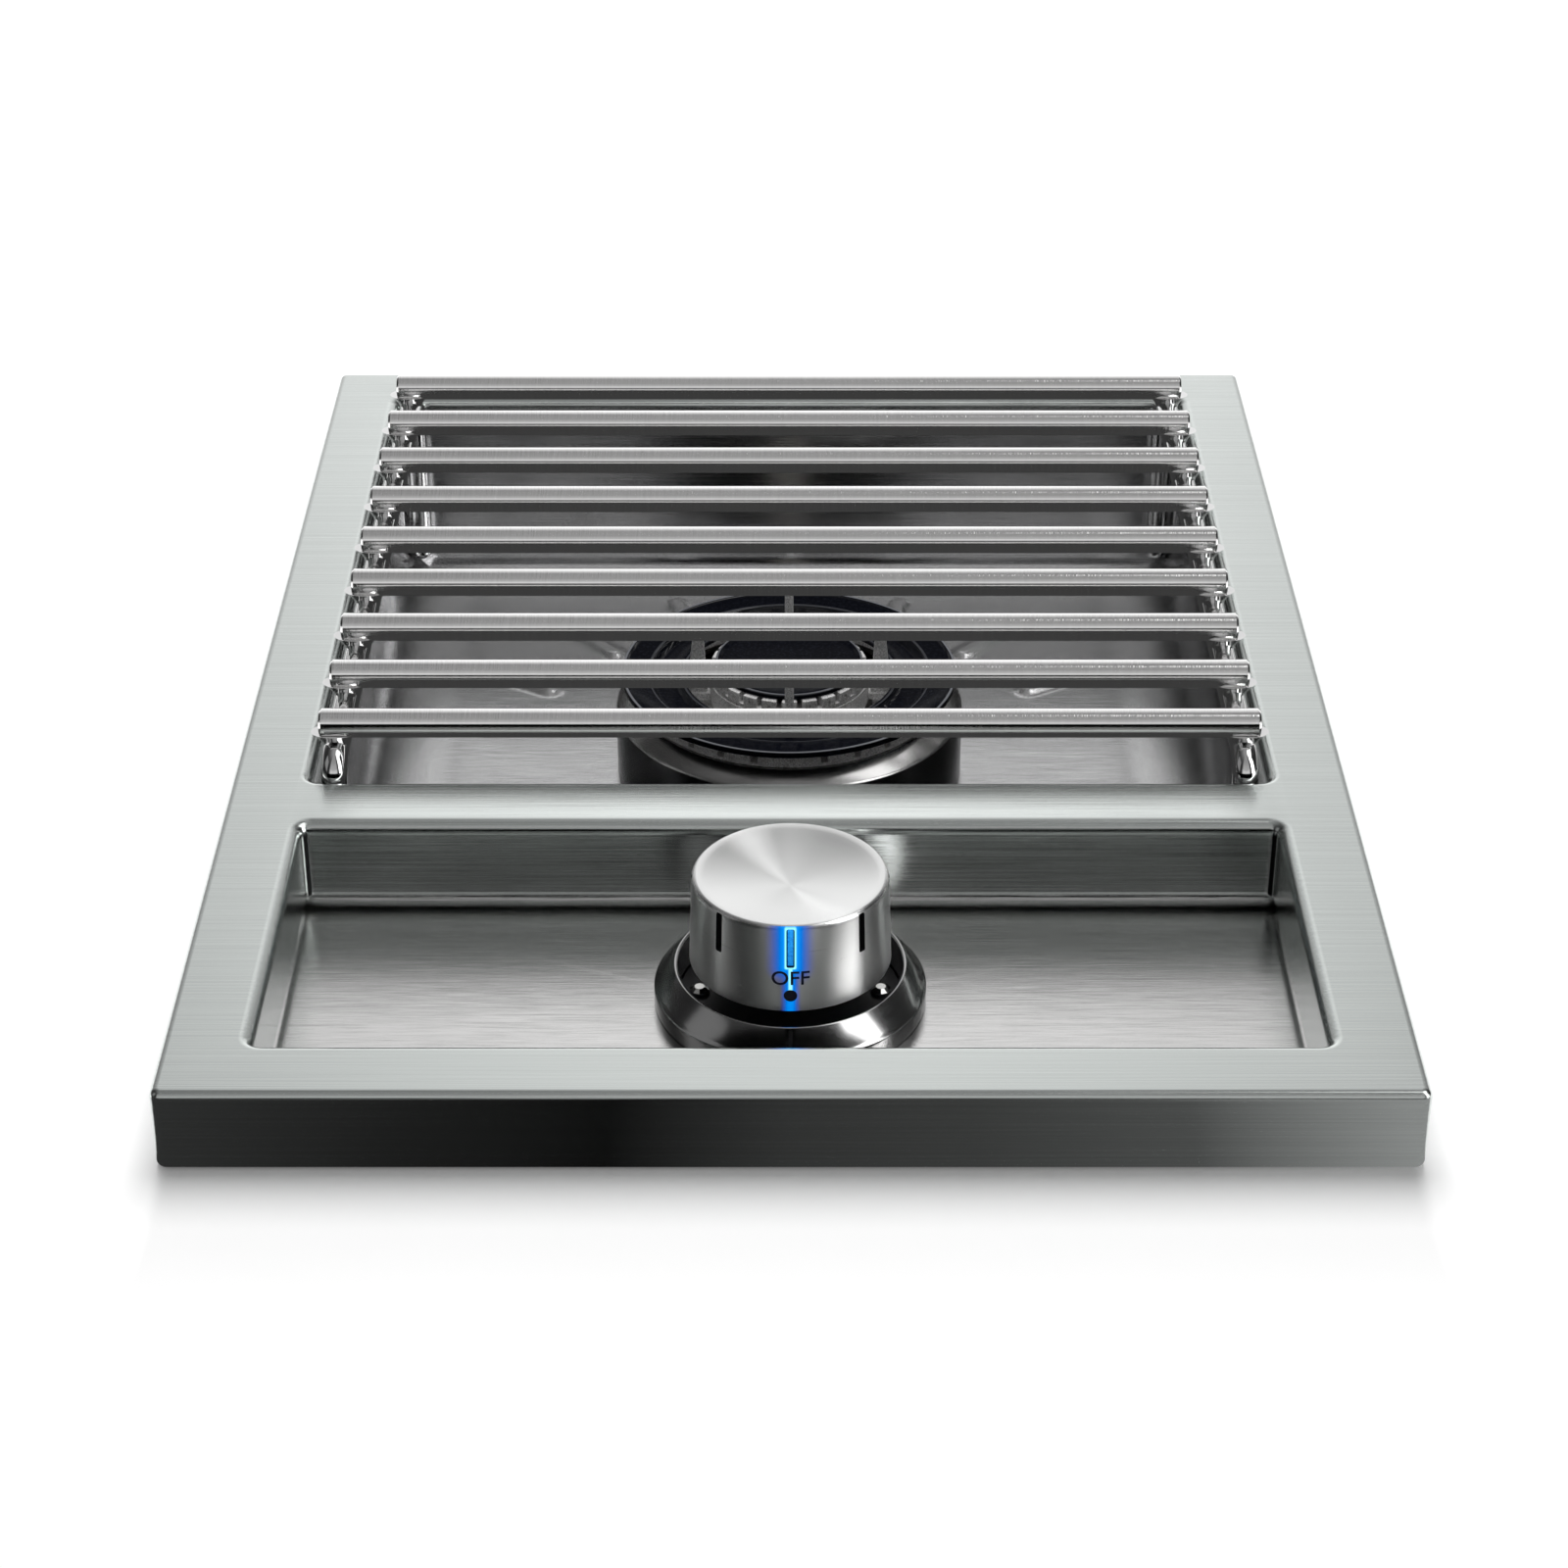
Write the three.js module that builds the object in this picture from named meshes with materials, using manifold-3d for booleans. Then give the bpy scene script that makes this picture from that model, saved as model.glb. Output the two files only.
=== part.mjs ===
// A drop-in side burner with a recessed control tray and a lift-off grate of round rods.
// Millimetres, +Z up, the front towards -Y. The origin is the centre of the casing's underside.
import * as THREE from 'three';
import { mergeVertices } from 'three/addons/utils/BufferGeometryUtils.js';
import Module from 'manifold-3d';

const wasm = await Module();
wasm.setup();

// Driving sizes of the whole part
const frameWidth = 340;
const frameLength = 462;
const casingHeight = 160;
const flangeDrop = 25;
const sideBorder = 20.5;
const frontBorder = 20;
const backBorder = 20;
const crossbarWidth = 18;
const trayDepth = 30;
const panDepth = 75;
const knobRadius = 28.2;
const knobTaper = 0.9;
const knobGap = 3.3;
const bezelWidth = 7;
const bezelFrontGap = 25.6;
const bezelBackGap = 7.6;
const baseRadius = 59.8;
const rodRadius = 4.5;
const railRadius = 4;

// Sheet thicknesses, bends and clearances that several pieces share
const sheet = 1.2;
const linerSheet = 1;
const fitGap = 0.3;
const overrun = 1;
const rollRadius = 4;
const openingCorner = 5;

// Counts of facets
const cornerSteps = 3;
const bendSteps = 3;
const fineSides = 36;
const roundSides = 20;
const smallSides = 10;
const leadSides = 6;

// Places that follow from the driving sizes
const topZ = casingHeight;
const halfOpening = frameWidth / 2 - sideBorder - rollRadius;
const trayFront = -frameLength / 2 + frontBorder + rollRadius;
const knobSkirtRadius = knobRadius + knobTaper;
const bezelInnerRadius = knobSkirtRadius + knobGap;
const bezelOuterRadius = bezelInnerRadius + bezelWidth;
const trayBack = trayFront + bezelFrontGap + 2 * bezelOuterRadius + bezelBackGap;
const panFront = trayBack + rollRadius + crossbarWidth + rollRadius;
const panBack = frameLength / 2 - backBorder - rollRadius;
const trayHole = { centreY: (trayFront + trayBack) / 2, halfY: (trayBack - trayFront) / 2 };
const panHole = { centreY: (panFront + panBack) / 2, halfY: (panBack - panFront) / 2 };
const burnerY = panHole.centreY;
const trayFloorZ = topZ - trayDepth;
const panFloorZ = topZ - panDepth;
const plateUnderZ = topZ - sheet;

// Finishes: colour, roughness and metalness
const finishes = {
  brushed: [0xbcc1c1, 0.34, 1],
  satin: [0xa9acae, 0.3, 1],
  polished: [0xd0d3d5, 0.08, 1],
  casting: [0x9b9c9d, 0.6, 0.9],
  enamel: [0x0b0d12, 0.12, 0],
  galvanised: [0x9ba0a3, 0.45, 1],
  brass: [0xb08d4a, 0.35, 1],
  blackPlastic: [0x0c0c0d, 0.5, 0],
  ceramic: [0xe6e1d6, 0.35, 0],
  lamp: [0x1c86ff, 0.25, 0],
  tubing: [0xb4b7b9, 0.32, 1],
  leadSleeve: [0xa83a2c, 0.55, 0],
};

const part = new THREE.Group();

// A boolean solid from a geometry, with shared vertices merged and its faces pointing out
function solid(geometry) {
  const bare = geometry.clone();
  bare.deleteAttribute('normal');
  bare.deleteAttribute('uv');
  const merged = mergeVertices(bare);
  const vertProperties = new Float32Array(merged.getAttribute('position').array);
  const index = merged.getIndex().array;
  const kept = [];
  for (let i = 0; i < index.length; i += 3) {
    const [a, b, c] = index.slice(i, i + 3);
    if (a !== b && b !== c && c !== a) kept.push(a, b, c);
  }
  const triVerts = new Uint32Array(kept);
  if (signedVolume(vertProperties, triVerts) < 0) triVerts.reverse();
  return new wasm.Manifold(new wasm.Mesh({ numProp: 3, vertProperties, triVerts }));
}

// Six times the volume inside a closed mesh, below zero where its faces point in
function signedVolume(positions, triangles) {
  const [a, b, c] = [new THREE.Vector3(), new THREE.Vector3(), new THREE.Vector3()];
  let sum = 0;
  for (let i = 0; i < triangles.length; i += 3) {
    a.fromArray(positions, triangles[i] * 3);
    b.fromArray(positions, triangles[i + 1] * 3);
    c.fromArray(positions, triangles[i + 2] * 3);
    sum += a.dot(b.cross(c));
  }
  return sum;
}

function geometryOf(manifold) {
  const mesh = manifold.getMesh();
  const geometry = new THREE.BufferGeometry();
  geometry.setAttribute('position', new THREE.BufferAttribute(mesh.vertProperties, 3));
  geometry.setIndex(new THREE.BufferAttribute(mesh.triVerts, 1));
  geometry.computeVertexNormals();
  return geometry;
}

function combine(first, others, action) {
  return geometryOf(others.reduce((made, other) => made[action](solid(other)), solid(first)));
}

function join(first, ...others) {
  return combine(first, others, 'add');
}

function cut(first, ...others) {
  return combine(first, others, 'subtract');
}

// Add one named piece of the object
function add(name, geometry, finish) {
  const [color, roughness, metalness] = finishes[finish];
  const material = new THREE.MeshStandardMaterial({ color, roughness, metalness });
  const mesh = new THREE.Mesh(geometryOf(solid(geometry)), material);
  mesh.name = name;
  part.add(mesh);
}

// A round bar standing between two heights
function post(radius, low, high, x = 0, y = 0, sides = roundSides) {
  return new THREE.CylinderGeometry(radius, radius, high - low, sides)
    .rotateX(Math.PI / 2)
    .translate(x, y, (low + high) / 2);
}

// A round bar along Y between two places
function barAlongY(radius, front, back, x, z, sides = smallSides) {
  return new THREE.CylinderGeometry(radius, radius, back - front, sides)
    .translate(x, (front + back) / 2, z);
}

// A block between two corners
function block(low, high) {
  const size = high.map((value, axis) => value - low[axis]);
  const middle = high.map((value, axis) => (value + low[axis]) / 2);
  return new THREE.BoxGeometry(...size).translate(...middle);
}

// A turned piece: its profile is a list of radius and height
function turned(profile, sides = fineSides, x = 0, y = 0) {
  return new THREE.LatheGeometry(profile.map(([r, z]) => new THREE.Vector2(r, z)), sides)
    .rotateX(Math.PI / 2)
    .translate(x, y, 0);
}

// Points of an arc in a profile, angles in degrees from the outward direction
function arc(across, up, radius, from, to, steps = bendSteps) {
  return Array.from({ length: steps + 1 }, (_, step) => {
    const angle = THREE.MathUtils.degToRad(from + ((to - from) * step) / steps);
    return [across + radius * Math.cos(angle), up + radius * Math.sin(angle)];
  });
}

// A ring of points round a rectangle with rounded corners; its height may differ at sides and ends
function rectangleRing(halfX, halfY, radius, centreY, sideZ, endZ = sideZ) {
  const ring = [];
  for (let corner = 0; corner < 4; corner += 1) {
    const signX = corner === 0 || corner === 3 ? 1 : -1;
    const signY = corner < 2 ? 1 : -1;
    for (let step = 0; step <= cornerSteps; step += 1) {
      const angle = ((corner + step / cornerSteps) * Math.PI) / 2;
      const x = signX * (halfX - radius) + radius * Math.cos(angle);
      const y = centreY + signY * (halfY - radius) + radius * Math.sin(angle);
      const z = sideZ * Math.cos(angle) ** 2 + endZ * Math.sin(angle) ** 2;
      ring.push(new THREE.Vector3(x, y, z));
    }
  }
  return ring;
}

// A closed surface through rings of points: the ends are capped, or joined to each other if looped
function skin(rings, looped = false) {
  const count = rings[0].length;
  const points = rings.flat();
  const index = [];
  const bands = looped ? rings.length : rings.length - 1;
  for (let row = 0; row < bands; row += 1) {
    const next = (row + 1) % rings.length;
    for (let i = 0; i < count; i += 1) {
      const j = (i + 1) % count;
      index.push(row * count + i, row * count + j, next * count + j);
      index.push(row * count + i, next * count + j, next * count + i);
    }
  }
  if (!looped) {
    for (const row of [0, rings.length - 1]) {
      const middle = new THREE.Vector3();
      rings[row].forEach((point) => middle.addScaledVector(point, 1 / count));
      for (let i = 0; i < count; i += 1) {
        const pair = [row * count + ((i + 1) % count), row * count + i];
        if (row) pair.reverse();
        index.push(points.length, ...pair);
      }
      points.push(middle);
    }
  }
  const geometry = new THREE.BufferGeometry().setFromPoints(points);
  geometry.setIndex(index);
  return geometry;
}

// A sheet profile that runs round an opening: its points are clearance from the opening and height
function rimRound(hole, profile) {
  return skin(profile.map(([out, z]) => (
    rectangleRing(halfOpening + out, hole.halfY + out, openingCorner + out, hole.centreY, z)
  )), true);
}

// A curve through stations, so that a tube has rings only where it bends
class Route extends THREE.Curve {
  constructor(stations) {
    super();
    this.stations = stations;
  }

  getPoint(share, target = new THREE.Vector3()) {
    const last = this.stations.length - 1;
    const place = THREE.MathUtils.clamp(share, 0, 1) * last;
    const from = Math.min(Math.floor(place), last - 1);
    return target.lerpVectors(this.stations[from], this.stations[from + 1], place - from);
  }

  getUtoTmapping(share) {
    return share;
  }
}

// A round bar or tube along a route of corners, each rounded by the same bend
function bentBar(corners, radius, bend, sides = smallSides) {
  const places = corners.map((corner) => new THREE.Vector3(...corner));
  const stations = [places[0]];
  for (let i = 1; i < places.length - 1; i += 1) {
    const before = places[i - 1].clone().sub(places[i]).setLength(bend).add(places[i]);
    const after = places[i + 1].clone().sub(places[i]).setLength(bend).add(places[i]);
    stations.push(...new THREE.QuadraticBezierCurve3(before, places[i], after).getPoints(bendSteps));
  }
  stations.push(places[places.length - 1]);
  const section = Array.from({ length: sides }, (_, side) => {
    const angle = (2 * Math.PI * side) / sides;
    return new THREE.Vector2(radius * Math.cos(angle), radius * Math.sin(angle));
  });
  return new THREE.ExtrudeGeometry(new THREE.Shape(section), {
    steps: stations.length - 1,
    extrudePath: new Route(stations),
    bevelEnabled: false,
  });
}

// Top frame: one sheet with a down-turned flange, a return lip, and two openings with rolled edges
const outerBend = 2.5;
const outerCorner = 3;
const tightCorner = 0.4;
const lipWidth = 11;
const lipBend = 2;
const seamOverlap = 1.5;
const skirtToFloor = 4;
const traySkirt = trayDepth - skirtToFloor;
const panSkirt = 14;
const hemRadius = 2;
const hemWidth = 3;

function flangeRing() {
  const foldZ = topZ - outerBend;
  const lipZ = topZ - flangeDrop;
  const profile = [
    [outerBend + seamOverlap, topZ],
    ...arc(outerBend, foldZ, outerBend, 90, 180),
    ...arc(lipBend, lipZ + lipBend, lipBend, 180, 270),
    [lipWidth, lipZ],
    [lipWidth, lipZ + sheet],
    ...arc(lipBend, lipZ + lipBend, lipBend - sheet, 270, 180),
    ...arc(outerBend, foldZ, outerBend - sheet, 180, 90),
    [outerBend + seamOverlap, plateUnderZ],
  ];
  return skin(profile.map(([inset, z]) => rectangleRing(
    frameWidth / 2 - inset,
    frameLength / 2 - inset,
    Math.max(outerCorner - inset, tightCorner),
    0,
    z,
  )), true);
}

function openingRoll() {
  return {
    over: [[rollRadius + seamOverlap, topZ], ...arc(rollRadius, topZ - rollRadius, rollRadius, 90, 180)],
    under: [
      ...arc(rollRadius, topZ - rollRadius, rollRadius - sheet, 180, 90),
      [rollRadius + seamOverlap, plateUnderZ],
    ],
  };
}

function traySkirtRing() {
  const { over, under } = openingRoll();
  const hemZ = topZ - traySkirt;
  return rimRound(trayHole, [
    ...over,
    ...arc(hemRadius, hemZ + hemRadius, hemRadius, 180, 270),
    [hemWidth, hemZ],
    [hemWidth, hemZ + sheet],
    ...arc(hemRadius, hemZ + hemRadius, hemRadius - sheet, 270, 180),
    ...under,
  ]);
}

function panSkirtRing() {
  const { over, under } = openingRoll();
  return rimRound(panHole, [...over, [0, topZ - panSkirt], [sheet, topZ - panSkirt], ...under]);
}

function plateOutline(halfX, halfY, radius, centreY) {
  return rectangleRing(halfX, halfY, radius, centreY, 0).map(({ x, y }) => new THREE.Vector2(x, y));
}

function topPlate() {
  const halfX = frameWidth / 2 - outerBend;
  const halfY = frameLength / 2 - outerBend;
  const shape = new THREE.Shape(plateOutline(halfX, halfY, tightCorner, 0));
  for (const hole of [trayHole, panHole]) {
    const outline = plateOutline(
      halfOpening + rollRadius,
      hole.halfY + rollRadius,
      openingCorner + rollRadius,
      hole.centreY,
    );
    shape.holes.push(new THREE.Path(outline));
  }
  return new THREE.ExtrudeGeometry(shape, { depth: sheet, bevelEnabled: false }).translate(0, 0, plateUnderZ);
}

add('top_frame', join(topPlate(), flangeRing(), traySkirtRing(), panSkirtRing()), 'brushed');

// Knob and valve axis, and the places of what goes through the tray
const knobX = 0;
const knobY = trayFront + bezelFrontGap + bezelOuterRadius;
const stemHoleRadius = 7;
const bezelScrewInset = 6.1;
const bezelScrewRadius = bezelInnerRadius - bezelScrewInset;
const screwShankRadius = 1.6;
const screwHoleRadius = screwShankRadius + fitGap;
const lampInset = 3.7;
const lampRadius = knobRadius - lampInset;
const lampHoleRadius = 1.6;

// Control tray: hangs by a flange under the top sheet, round the rolled skirt
const trayBend = 4;
const trayReach = 4;
const shieldGap = 1.1;
const flangeReach = rollRadius + crossbarWidth / 2 - sheet / 2 - shieldGap;
const linerTopZ = plateUnderZ - fitGap;
const screwXs = [knobX - bezelScrewRadius, knobX + bezelScrewRadius];
const lampY = knobY - lampRadius;

function trayHoles(low, high) {
  return [
    post(stemHoleRadius, low, high, knobX, knobY),
    post(lampHoleRadius, low, high, knobX, lampY, smallSides),
    ...screwXs.map((x) => post(screwHoleRadius, low, high, x, knobY, smallSides)),
  ];
}

function controlTray() {
  const bendZ = trayFloorZ + trayBend;
  const profile = [
    ...arc(trayReach - trayBend, bendZ, trayBend, 270, 360),
    [trayReach, linerTopZ],
    [flangeReach, linerTopZ],
    [flangeReach, linerTopZ - linerSheet],
    [trayReach + linerSheet, linerTopZ - linerSheet],
    ...arc(trayReach - trayBend, bendZ, trayBend + linerSheet, 360, 270),
  ];
  const rings = profile.map(([out, z]) => (
    rectangleRing(halfOpening + out, trayHole.halfY + out, openingCorner + out, trayHole.centreY, z)
  ));
  const holes = trayHoles(trayFloorZ - linerSheet - overrun, trayFloorZ + overrun);
  return cut(skin(rings), ...holes);
}

add('control_tray', controlTray(), 'brushed');

// Burner pan: wide bends at the sides, small ones at the ends, and beads pressed up round the burner
const panReach = 2.3;
const panSideBend = 28;
const panEndBend = 8;
const panTopBend = 3;
const panBendSteps = 6;
const mixerHoleRadius = 36;
const igniterGap = 3.7;
const ceramicRadius = 3;
const ceramicClearance = 0.4;
const igniterHoleRadius = ceramicRadius + ceramicClearance;
const igniterY = burnerY + baseRadius + igniterGap;
const beadWidth = 10;
const beadHeight = 2;
const beadAngles = [0, 20, 40, 60];
const beadSlope = 3;
const beadSideGap = 8.9;
const beadEndGap = 4.3;
const beadStartShare = 0.516;
const bendCentreX = halfOpening + panReach - panSideBend;
const widestBead = THREE.MathUtils.degToRad(Math.max(...beadAngles));
const beadOuterRadius = Math.min(
  (bendCentreX - beadSideGap) / Math.sin(widestBead),
  panHole.halfY + panReach - panEndBend - beadEndGap,
);
const beadInnerRadius = THREE.MathUtils.lerp(baseRadius, beadOuterRadius, beadStartShare);

function panRing(turnDegrees, thickness) {
  const angle = THREE.MathUtils.degToRad(turnDegrees);
  const sideOut = panReach - panSideBend + (panSideBend + thickness) * Math.sin(angle);
  const endOut = panReach - panEndBend + (panEndBend + thickness) * Math.sin(angle);
  return rectangleRing(
    halfOpening + sideOut,
    panHole.halfY + endOut,
    openingCorner,
    burnerY,
    panFloorZ + panSideBend - (panSideBend + thickness) * Math.cos(angle),
    panFloorZ + panEndBend - (panEndBend + thickness) * Math.cos(angle),
  );
}

function panFlangeRing(out, z) {
  return rectangleRing(halfOpening + out, panHole.halfY + out, openingCorner, burnerY, z);
}

function bead(degrees) {
  const half = beadWidth / 2 - beadSlope;
  const from = beadInnerRadius + beadSlope + half;
  const to = beadOuterRadius - beadSlope - half;
  const outline = new THREE.Shape();
  outline.absarc(from, 0, half, Math.PI / 2, Math.PI * 1.5, false);
  outline.absarc(to, 0, half, -Math.PI / 2, Math.PI / 2, false);
  return new THREE.ExtrudeGeometry(outline, {
    depth: linerSheet / 2,
    curveSegments: 2,
    bevelThickness: beadHeight,
    bevelSize: beadSlope,
    bevelSegments: 1,
  })
    .rotateZ(THREE.MathUtils.degToRad(degrees))
    .translate(0, burnerY, panFloorZ - linerSheet / 2);
}

function burnerPan() {
  const turns = Array.from({ length: panBendSteps + 1 }, (_, step) => (90 * step) / panBendSteps);
  const topBendX = panReach + panTopBend;
  const topBendZ = linerTopZ - panTopBend;
  const rings = [
    ...turns.map((turn) => panRing(turn, 0)),
    ...arc(topBendX, topBendZ, panTopBend, 180, 90).map(([out, z]) => panFlangeRing(out, z)),
    panFlangeRing(flangeReach, linerTopZ),
    panFlangeRing(flangeReach, linerTopZ - linerSheet),
    ...arc(topBendX, topBendZ, panTopBend - linerSheet, 90, 180).map(([out, z]) => panFlangeRing(out, z)),
    ...turns.reverse().map((turn) => panRing(turn, linerSheet)),
  ];
  const under = panFloorZ - linerSheet - beadHeight - overrun;
  const wide = beadOuterRadius + overrun;
  const directions = beadAngles.flatMap((angle) => (angle ? [angle, -angle] : [angle]));
  const beads = directions.flatMap((angle) => [bead(angle + 90), bead(angle - 90)]);
  const trimmed = cut(
    join(beads[0], ...beads.slice(1)),
    block([-wide, burnerY - wide, under], [wide, burnerY + wide, panFloorZ - linerSheet / 2]),
  );
  return cut(
    join(skin(rings), trimmed),
    post(mixerHoleRadius, under, panFloorZ + overrun, 0, burnerY),
    post(igniterHoleRadius, under, panFloorZ + overrun, 0, igniterY, smallSides),
  );
}

add('burner_pan', burnerPan(), 'brushed');

// Casing: flat panels round the tray and the pan, on a shallow base, with a heat shield between
const panelInsideX = halfOpening + trayReach + linerSheet + fitGap;
const panelOutsideX = panelInsideX + sheet;
const frontPanelY = trayFront - trayReach - linerSheet - fitGap;
const rearPanelY = panBack + panReach + linerSheet + fitGap;
const panelTopZ = linerTopZ - panTopBend - fitGap;
const baseUpstand = 16;
const casingScrewZ = 8;
const casingScrewInset = 40;
const screwHeadRadius = 3.8;
const screwHeadHeight = 1.8;
const casingScrewLength = 8;
const louvreCount = 5;
const louvrePitch = 16;
const louvreLength = 70;
const louvreHeight = 8;
const louvreDepth = 3;
const louvreTopZ = 100;
const louvreY = burnerY;
const shieldY = trayBack + rollRadius + crossbarWidth / 2;
const shieldFootZ = 20;

// Tubes and leads that pass the heat shield
const inletX = 70;
const inletZ = 35;
const inletHoleRadius = 8;
const mixerDrop = 20;
const injectorFlangeHeight = 3;
const gasTubeRadius = 3.2;
const gasTubeX = 9;
const supplyRadius = 4.8;
const leadRadius = 1.5;
const leadHoleRadius = 2.2;
const lampLeadInset = 12;
const moduleZ = (baseUpstand + panFloorZ) / 2;
const injectorTopZ = panFloorZ - mixerDrop - fitGap;
const gasTubeZ = injectorTopZ - injectorFlangeHeight - fitGap - gasTubeRadius;
const lampLeadX = -panelInsideX + lampLeadInset;

function louvre(side, top) {
  const outline = new THREE.Shape([
    new THREE.Vector2(-sheet / 2, -louvreHeight),
    new THREE.Vector2(louvreDepth, -louvreHeight),
    new THREE.Vector2(-sheet / 2, 0),
  ]);
  const lip = new THREE.ExtrudeGeometry(outline, { depth: louvreLength, bevelEnabled: false })
    .rotateX(Math.PI / 2)
    .translate(panelOutsideX, louvreLength / 2 + louvreY, top);
  return side > 0 ? lip : lip.rotateZ(Math.PI).translate(0, louvreY * 2, 0);
}

function sideways(geometry, x, y, z) {
  return geometry.rotateY(Math.PI / 2).translate(x, y, z);
}

const casingScrewYs = [frontPanelY + casingScrewInset, rearPanelY - casingScrewInset];

function casingScrewHole(x, y) {
  return sideways(post(screwHoleRadius, -sheet, sheet, 0, 0, smallSides), x, y, casingScrewZ);
}

function sidePanel(side) {
  const near = Math.min(side * panelInsideX, side * panelOutsideX);
  const panel = block(
    [near, frontPanelY - sheet, 0],
    [near + sheet, rearPanelY + sheet, panelTopZ],
  );
  const louvres = Array.from({ length: louvreCount }, (_, row) => (
    louvre(side, louvreTopZ - row * louvrePitch)
  ));
  const holes = casingScrewYs.map((y) => casingScrewHole(side * (panelInsideX + sheet / 2), y));
  return cut(join(panel, ...louvres), ...holes);
}

add('casing_left', sidePanel(-1), 'galvanised');
add('casing_right', sidePanel(1), 'galvanised');

const innerX = panelInsideX - fitGap;
add(
  'casing_front',
  block([-innerX, frontPanelY - sheet, 0], [innerX, frontPanelY, panelTopZ]),
  'galvanised',
);
add(
  'casing_rear',
  cut(
    block([-innerX, rearPanelY, 0], [innerX, rearPanelY + sheet, panelTopZ]),
    barAlongY(
      inletHoleRadius,
      rearPanelY - overrun,
      rearPanelY + sheet + overrun,
      inletX,
      inletZ,
      roundSides,
    ),
  ),
  'galvanised',
);

function casingBase() {
  const halfY = (rearPanelY - frontPanelY) / 2 - fitGap;
  const centreY = (rearPanelY + frontPanelY) / 2;
  const ring = (inset, z) => rectangleRing(innerX - inset, halfY - inset, outerCorner, centreY, z);
  const tray = skin([ring(sheet, sheet), ring(sheet, baseUpstand), ring(0, baseUpstand), ring(0, 0)]);
  const holes = [-1, 1].flatMap((side) => (
    casingScrewYs.map((y) => casingScrewHole(side * (innerX - sheet / 2), y))
  ));
  return cut(tray, ...holes);
}

add('casing_base', casingBase(), 'galvanised');

function screw(headRadius, headHeight, shankRadius, length) {
  return turned([
    [0, -length],
    [shankRadius, -length],
    [shankRadius, 0],
    [headRadius, 0],
    [headRadius, headHeight / 2],
    [headRadius / 2, headHeight],
    [0, headHeight],
  ], smallSides);
}

casingScrewYs.forEach((y, row) => {
  for (const side of [-1, 1]) {
    const place = panelOutsideX + fitGap;
    const made = screw(screwHeadRadius, screwHeadHeight, screwShankRadius, casingScrewLength)
      .rotateY((side * Math.PI) / 2)
      .translate(side * place, y, casingScrewZ);
    add(`casing_screw_${side < 0 ? 'left' : 'right'}_${row + 1}`, made, 'polished');
  }
});

function heatShield() {
  const low = shieldY - sheet / 2;
  const high = shieldY + sheet / 2;
  const through = (radius, x, z) => barAlongY(radius, low - overrun, high + overrun, x, z, roundSides);
  return cut(
    block([-innerX, low, shieldFootZ], [innerX, high, linerTopZ]),
    through(supplyRadius + fitGap, inletX, inletZ),
    through(gasTubeRadius + fitGap, -gasTubeX, gasTubeZ),
    through(gasTubeRadius + fitGap, gasTubeX, gasTubeZ),
    through(leadHoleRadius, lampLeadX, moduleZ),
  );
}

add('heat_shield', heatShield(), 'galvanised');

// Knob bezel: a polished cone round the knob, with an index line, over a black cup
const bezelEdgeHeight = 5.4;
const bezelHeight = 12.6;
const bezelRim = 1;
const indexWidth = 1.1;
const indexDepth = 0.5;
const indexLength = 6;
const cupFloor = 1.5;
const bezelBottomZ = trayFloorZ + fitGap;

function knobBezel() {
  const edgeZ = trayFloorZ + bezelEdgeHeight;
  const rimZ = trayFloorZ + bezelHeight;
  const edgeRadius = bezelOuterRadius - bezelRim;
  const crestRadius = bezelInnerRadius + bezelRim;
  const ring = turned([
    [bezelInnerRadius, bezelBottomZ],
    [bezelOuterRadius, bezelBottomZ],
    [bezelOuterRadius, edgeZ],
    [edgeRadius, edgeZ + bezelRim],
    [crestRadius, rimZ],
    [bezelInnerRadius, rimZ - bezelRim / 2],
    [bezelInnerRadius, bezelBottomZ],
  ], fineSides, knobX, knobY);
  const slope = Math.atan2(rimZ - edgeZ - bezelRim, edgeRadius - crestRadius);
  const groove = new THREE.BoxGeometry(indexWidth, indexLength, 2 * indexDepth)
    .rotateX(slope)
    .translate(knobX, knobY - (edgeRadius + crestRadius) / 2, (edgeZ + bezelRim + rimZ) / 2);
  return cut(ring, groove);
}

add('knob_bezel', knobBezel(), 'polished');

const cupRadius = bezelInnerRadius - fitGap;
const cupTopZ = bezelBottomZ + cupFloor;
add(
  'bezel_cup',
  cut(post(cupRadius, bezelBottomZ, cupTopZ, knobX, knobY, fineSides), ...trayHoles(trayFloorZ, topZ)),
  'blackPlastic',
);

const bezelScrewHead = 3;
const bezelScrewHeight = 1.6;
const bezelScrewLength = 7;
screwXs.forEach((x, index) => {
  const made = screw(bezelScrewHead, bezelScrewHeight, screwShankRadius, bezelScrewLength)
    .translate(x, knobY, cupTopZ + fitGap);
  add(`bezel_screw_${index ? 'right' : 'left'}`, made, 'polished');
});

// Pointer lamp under the lit slot
const lampWidth = 6;
const lampDepth = 4;
const lampHeight = 2;
add(
  'pointer_lamp',
  block(
    [knobX - lampWidth / 2, lampY - lampDepth / 2, cupTopZ + fitGap],
    [knobX + lampWidth / 2, lampY + lampDepth / 2, cupTopZ + fitGap + lampHeight],
  ),
  'lamp',
);

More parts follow.
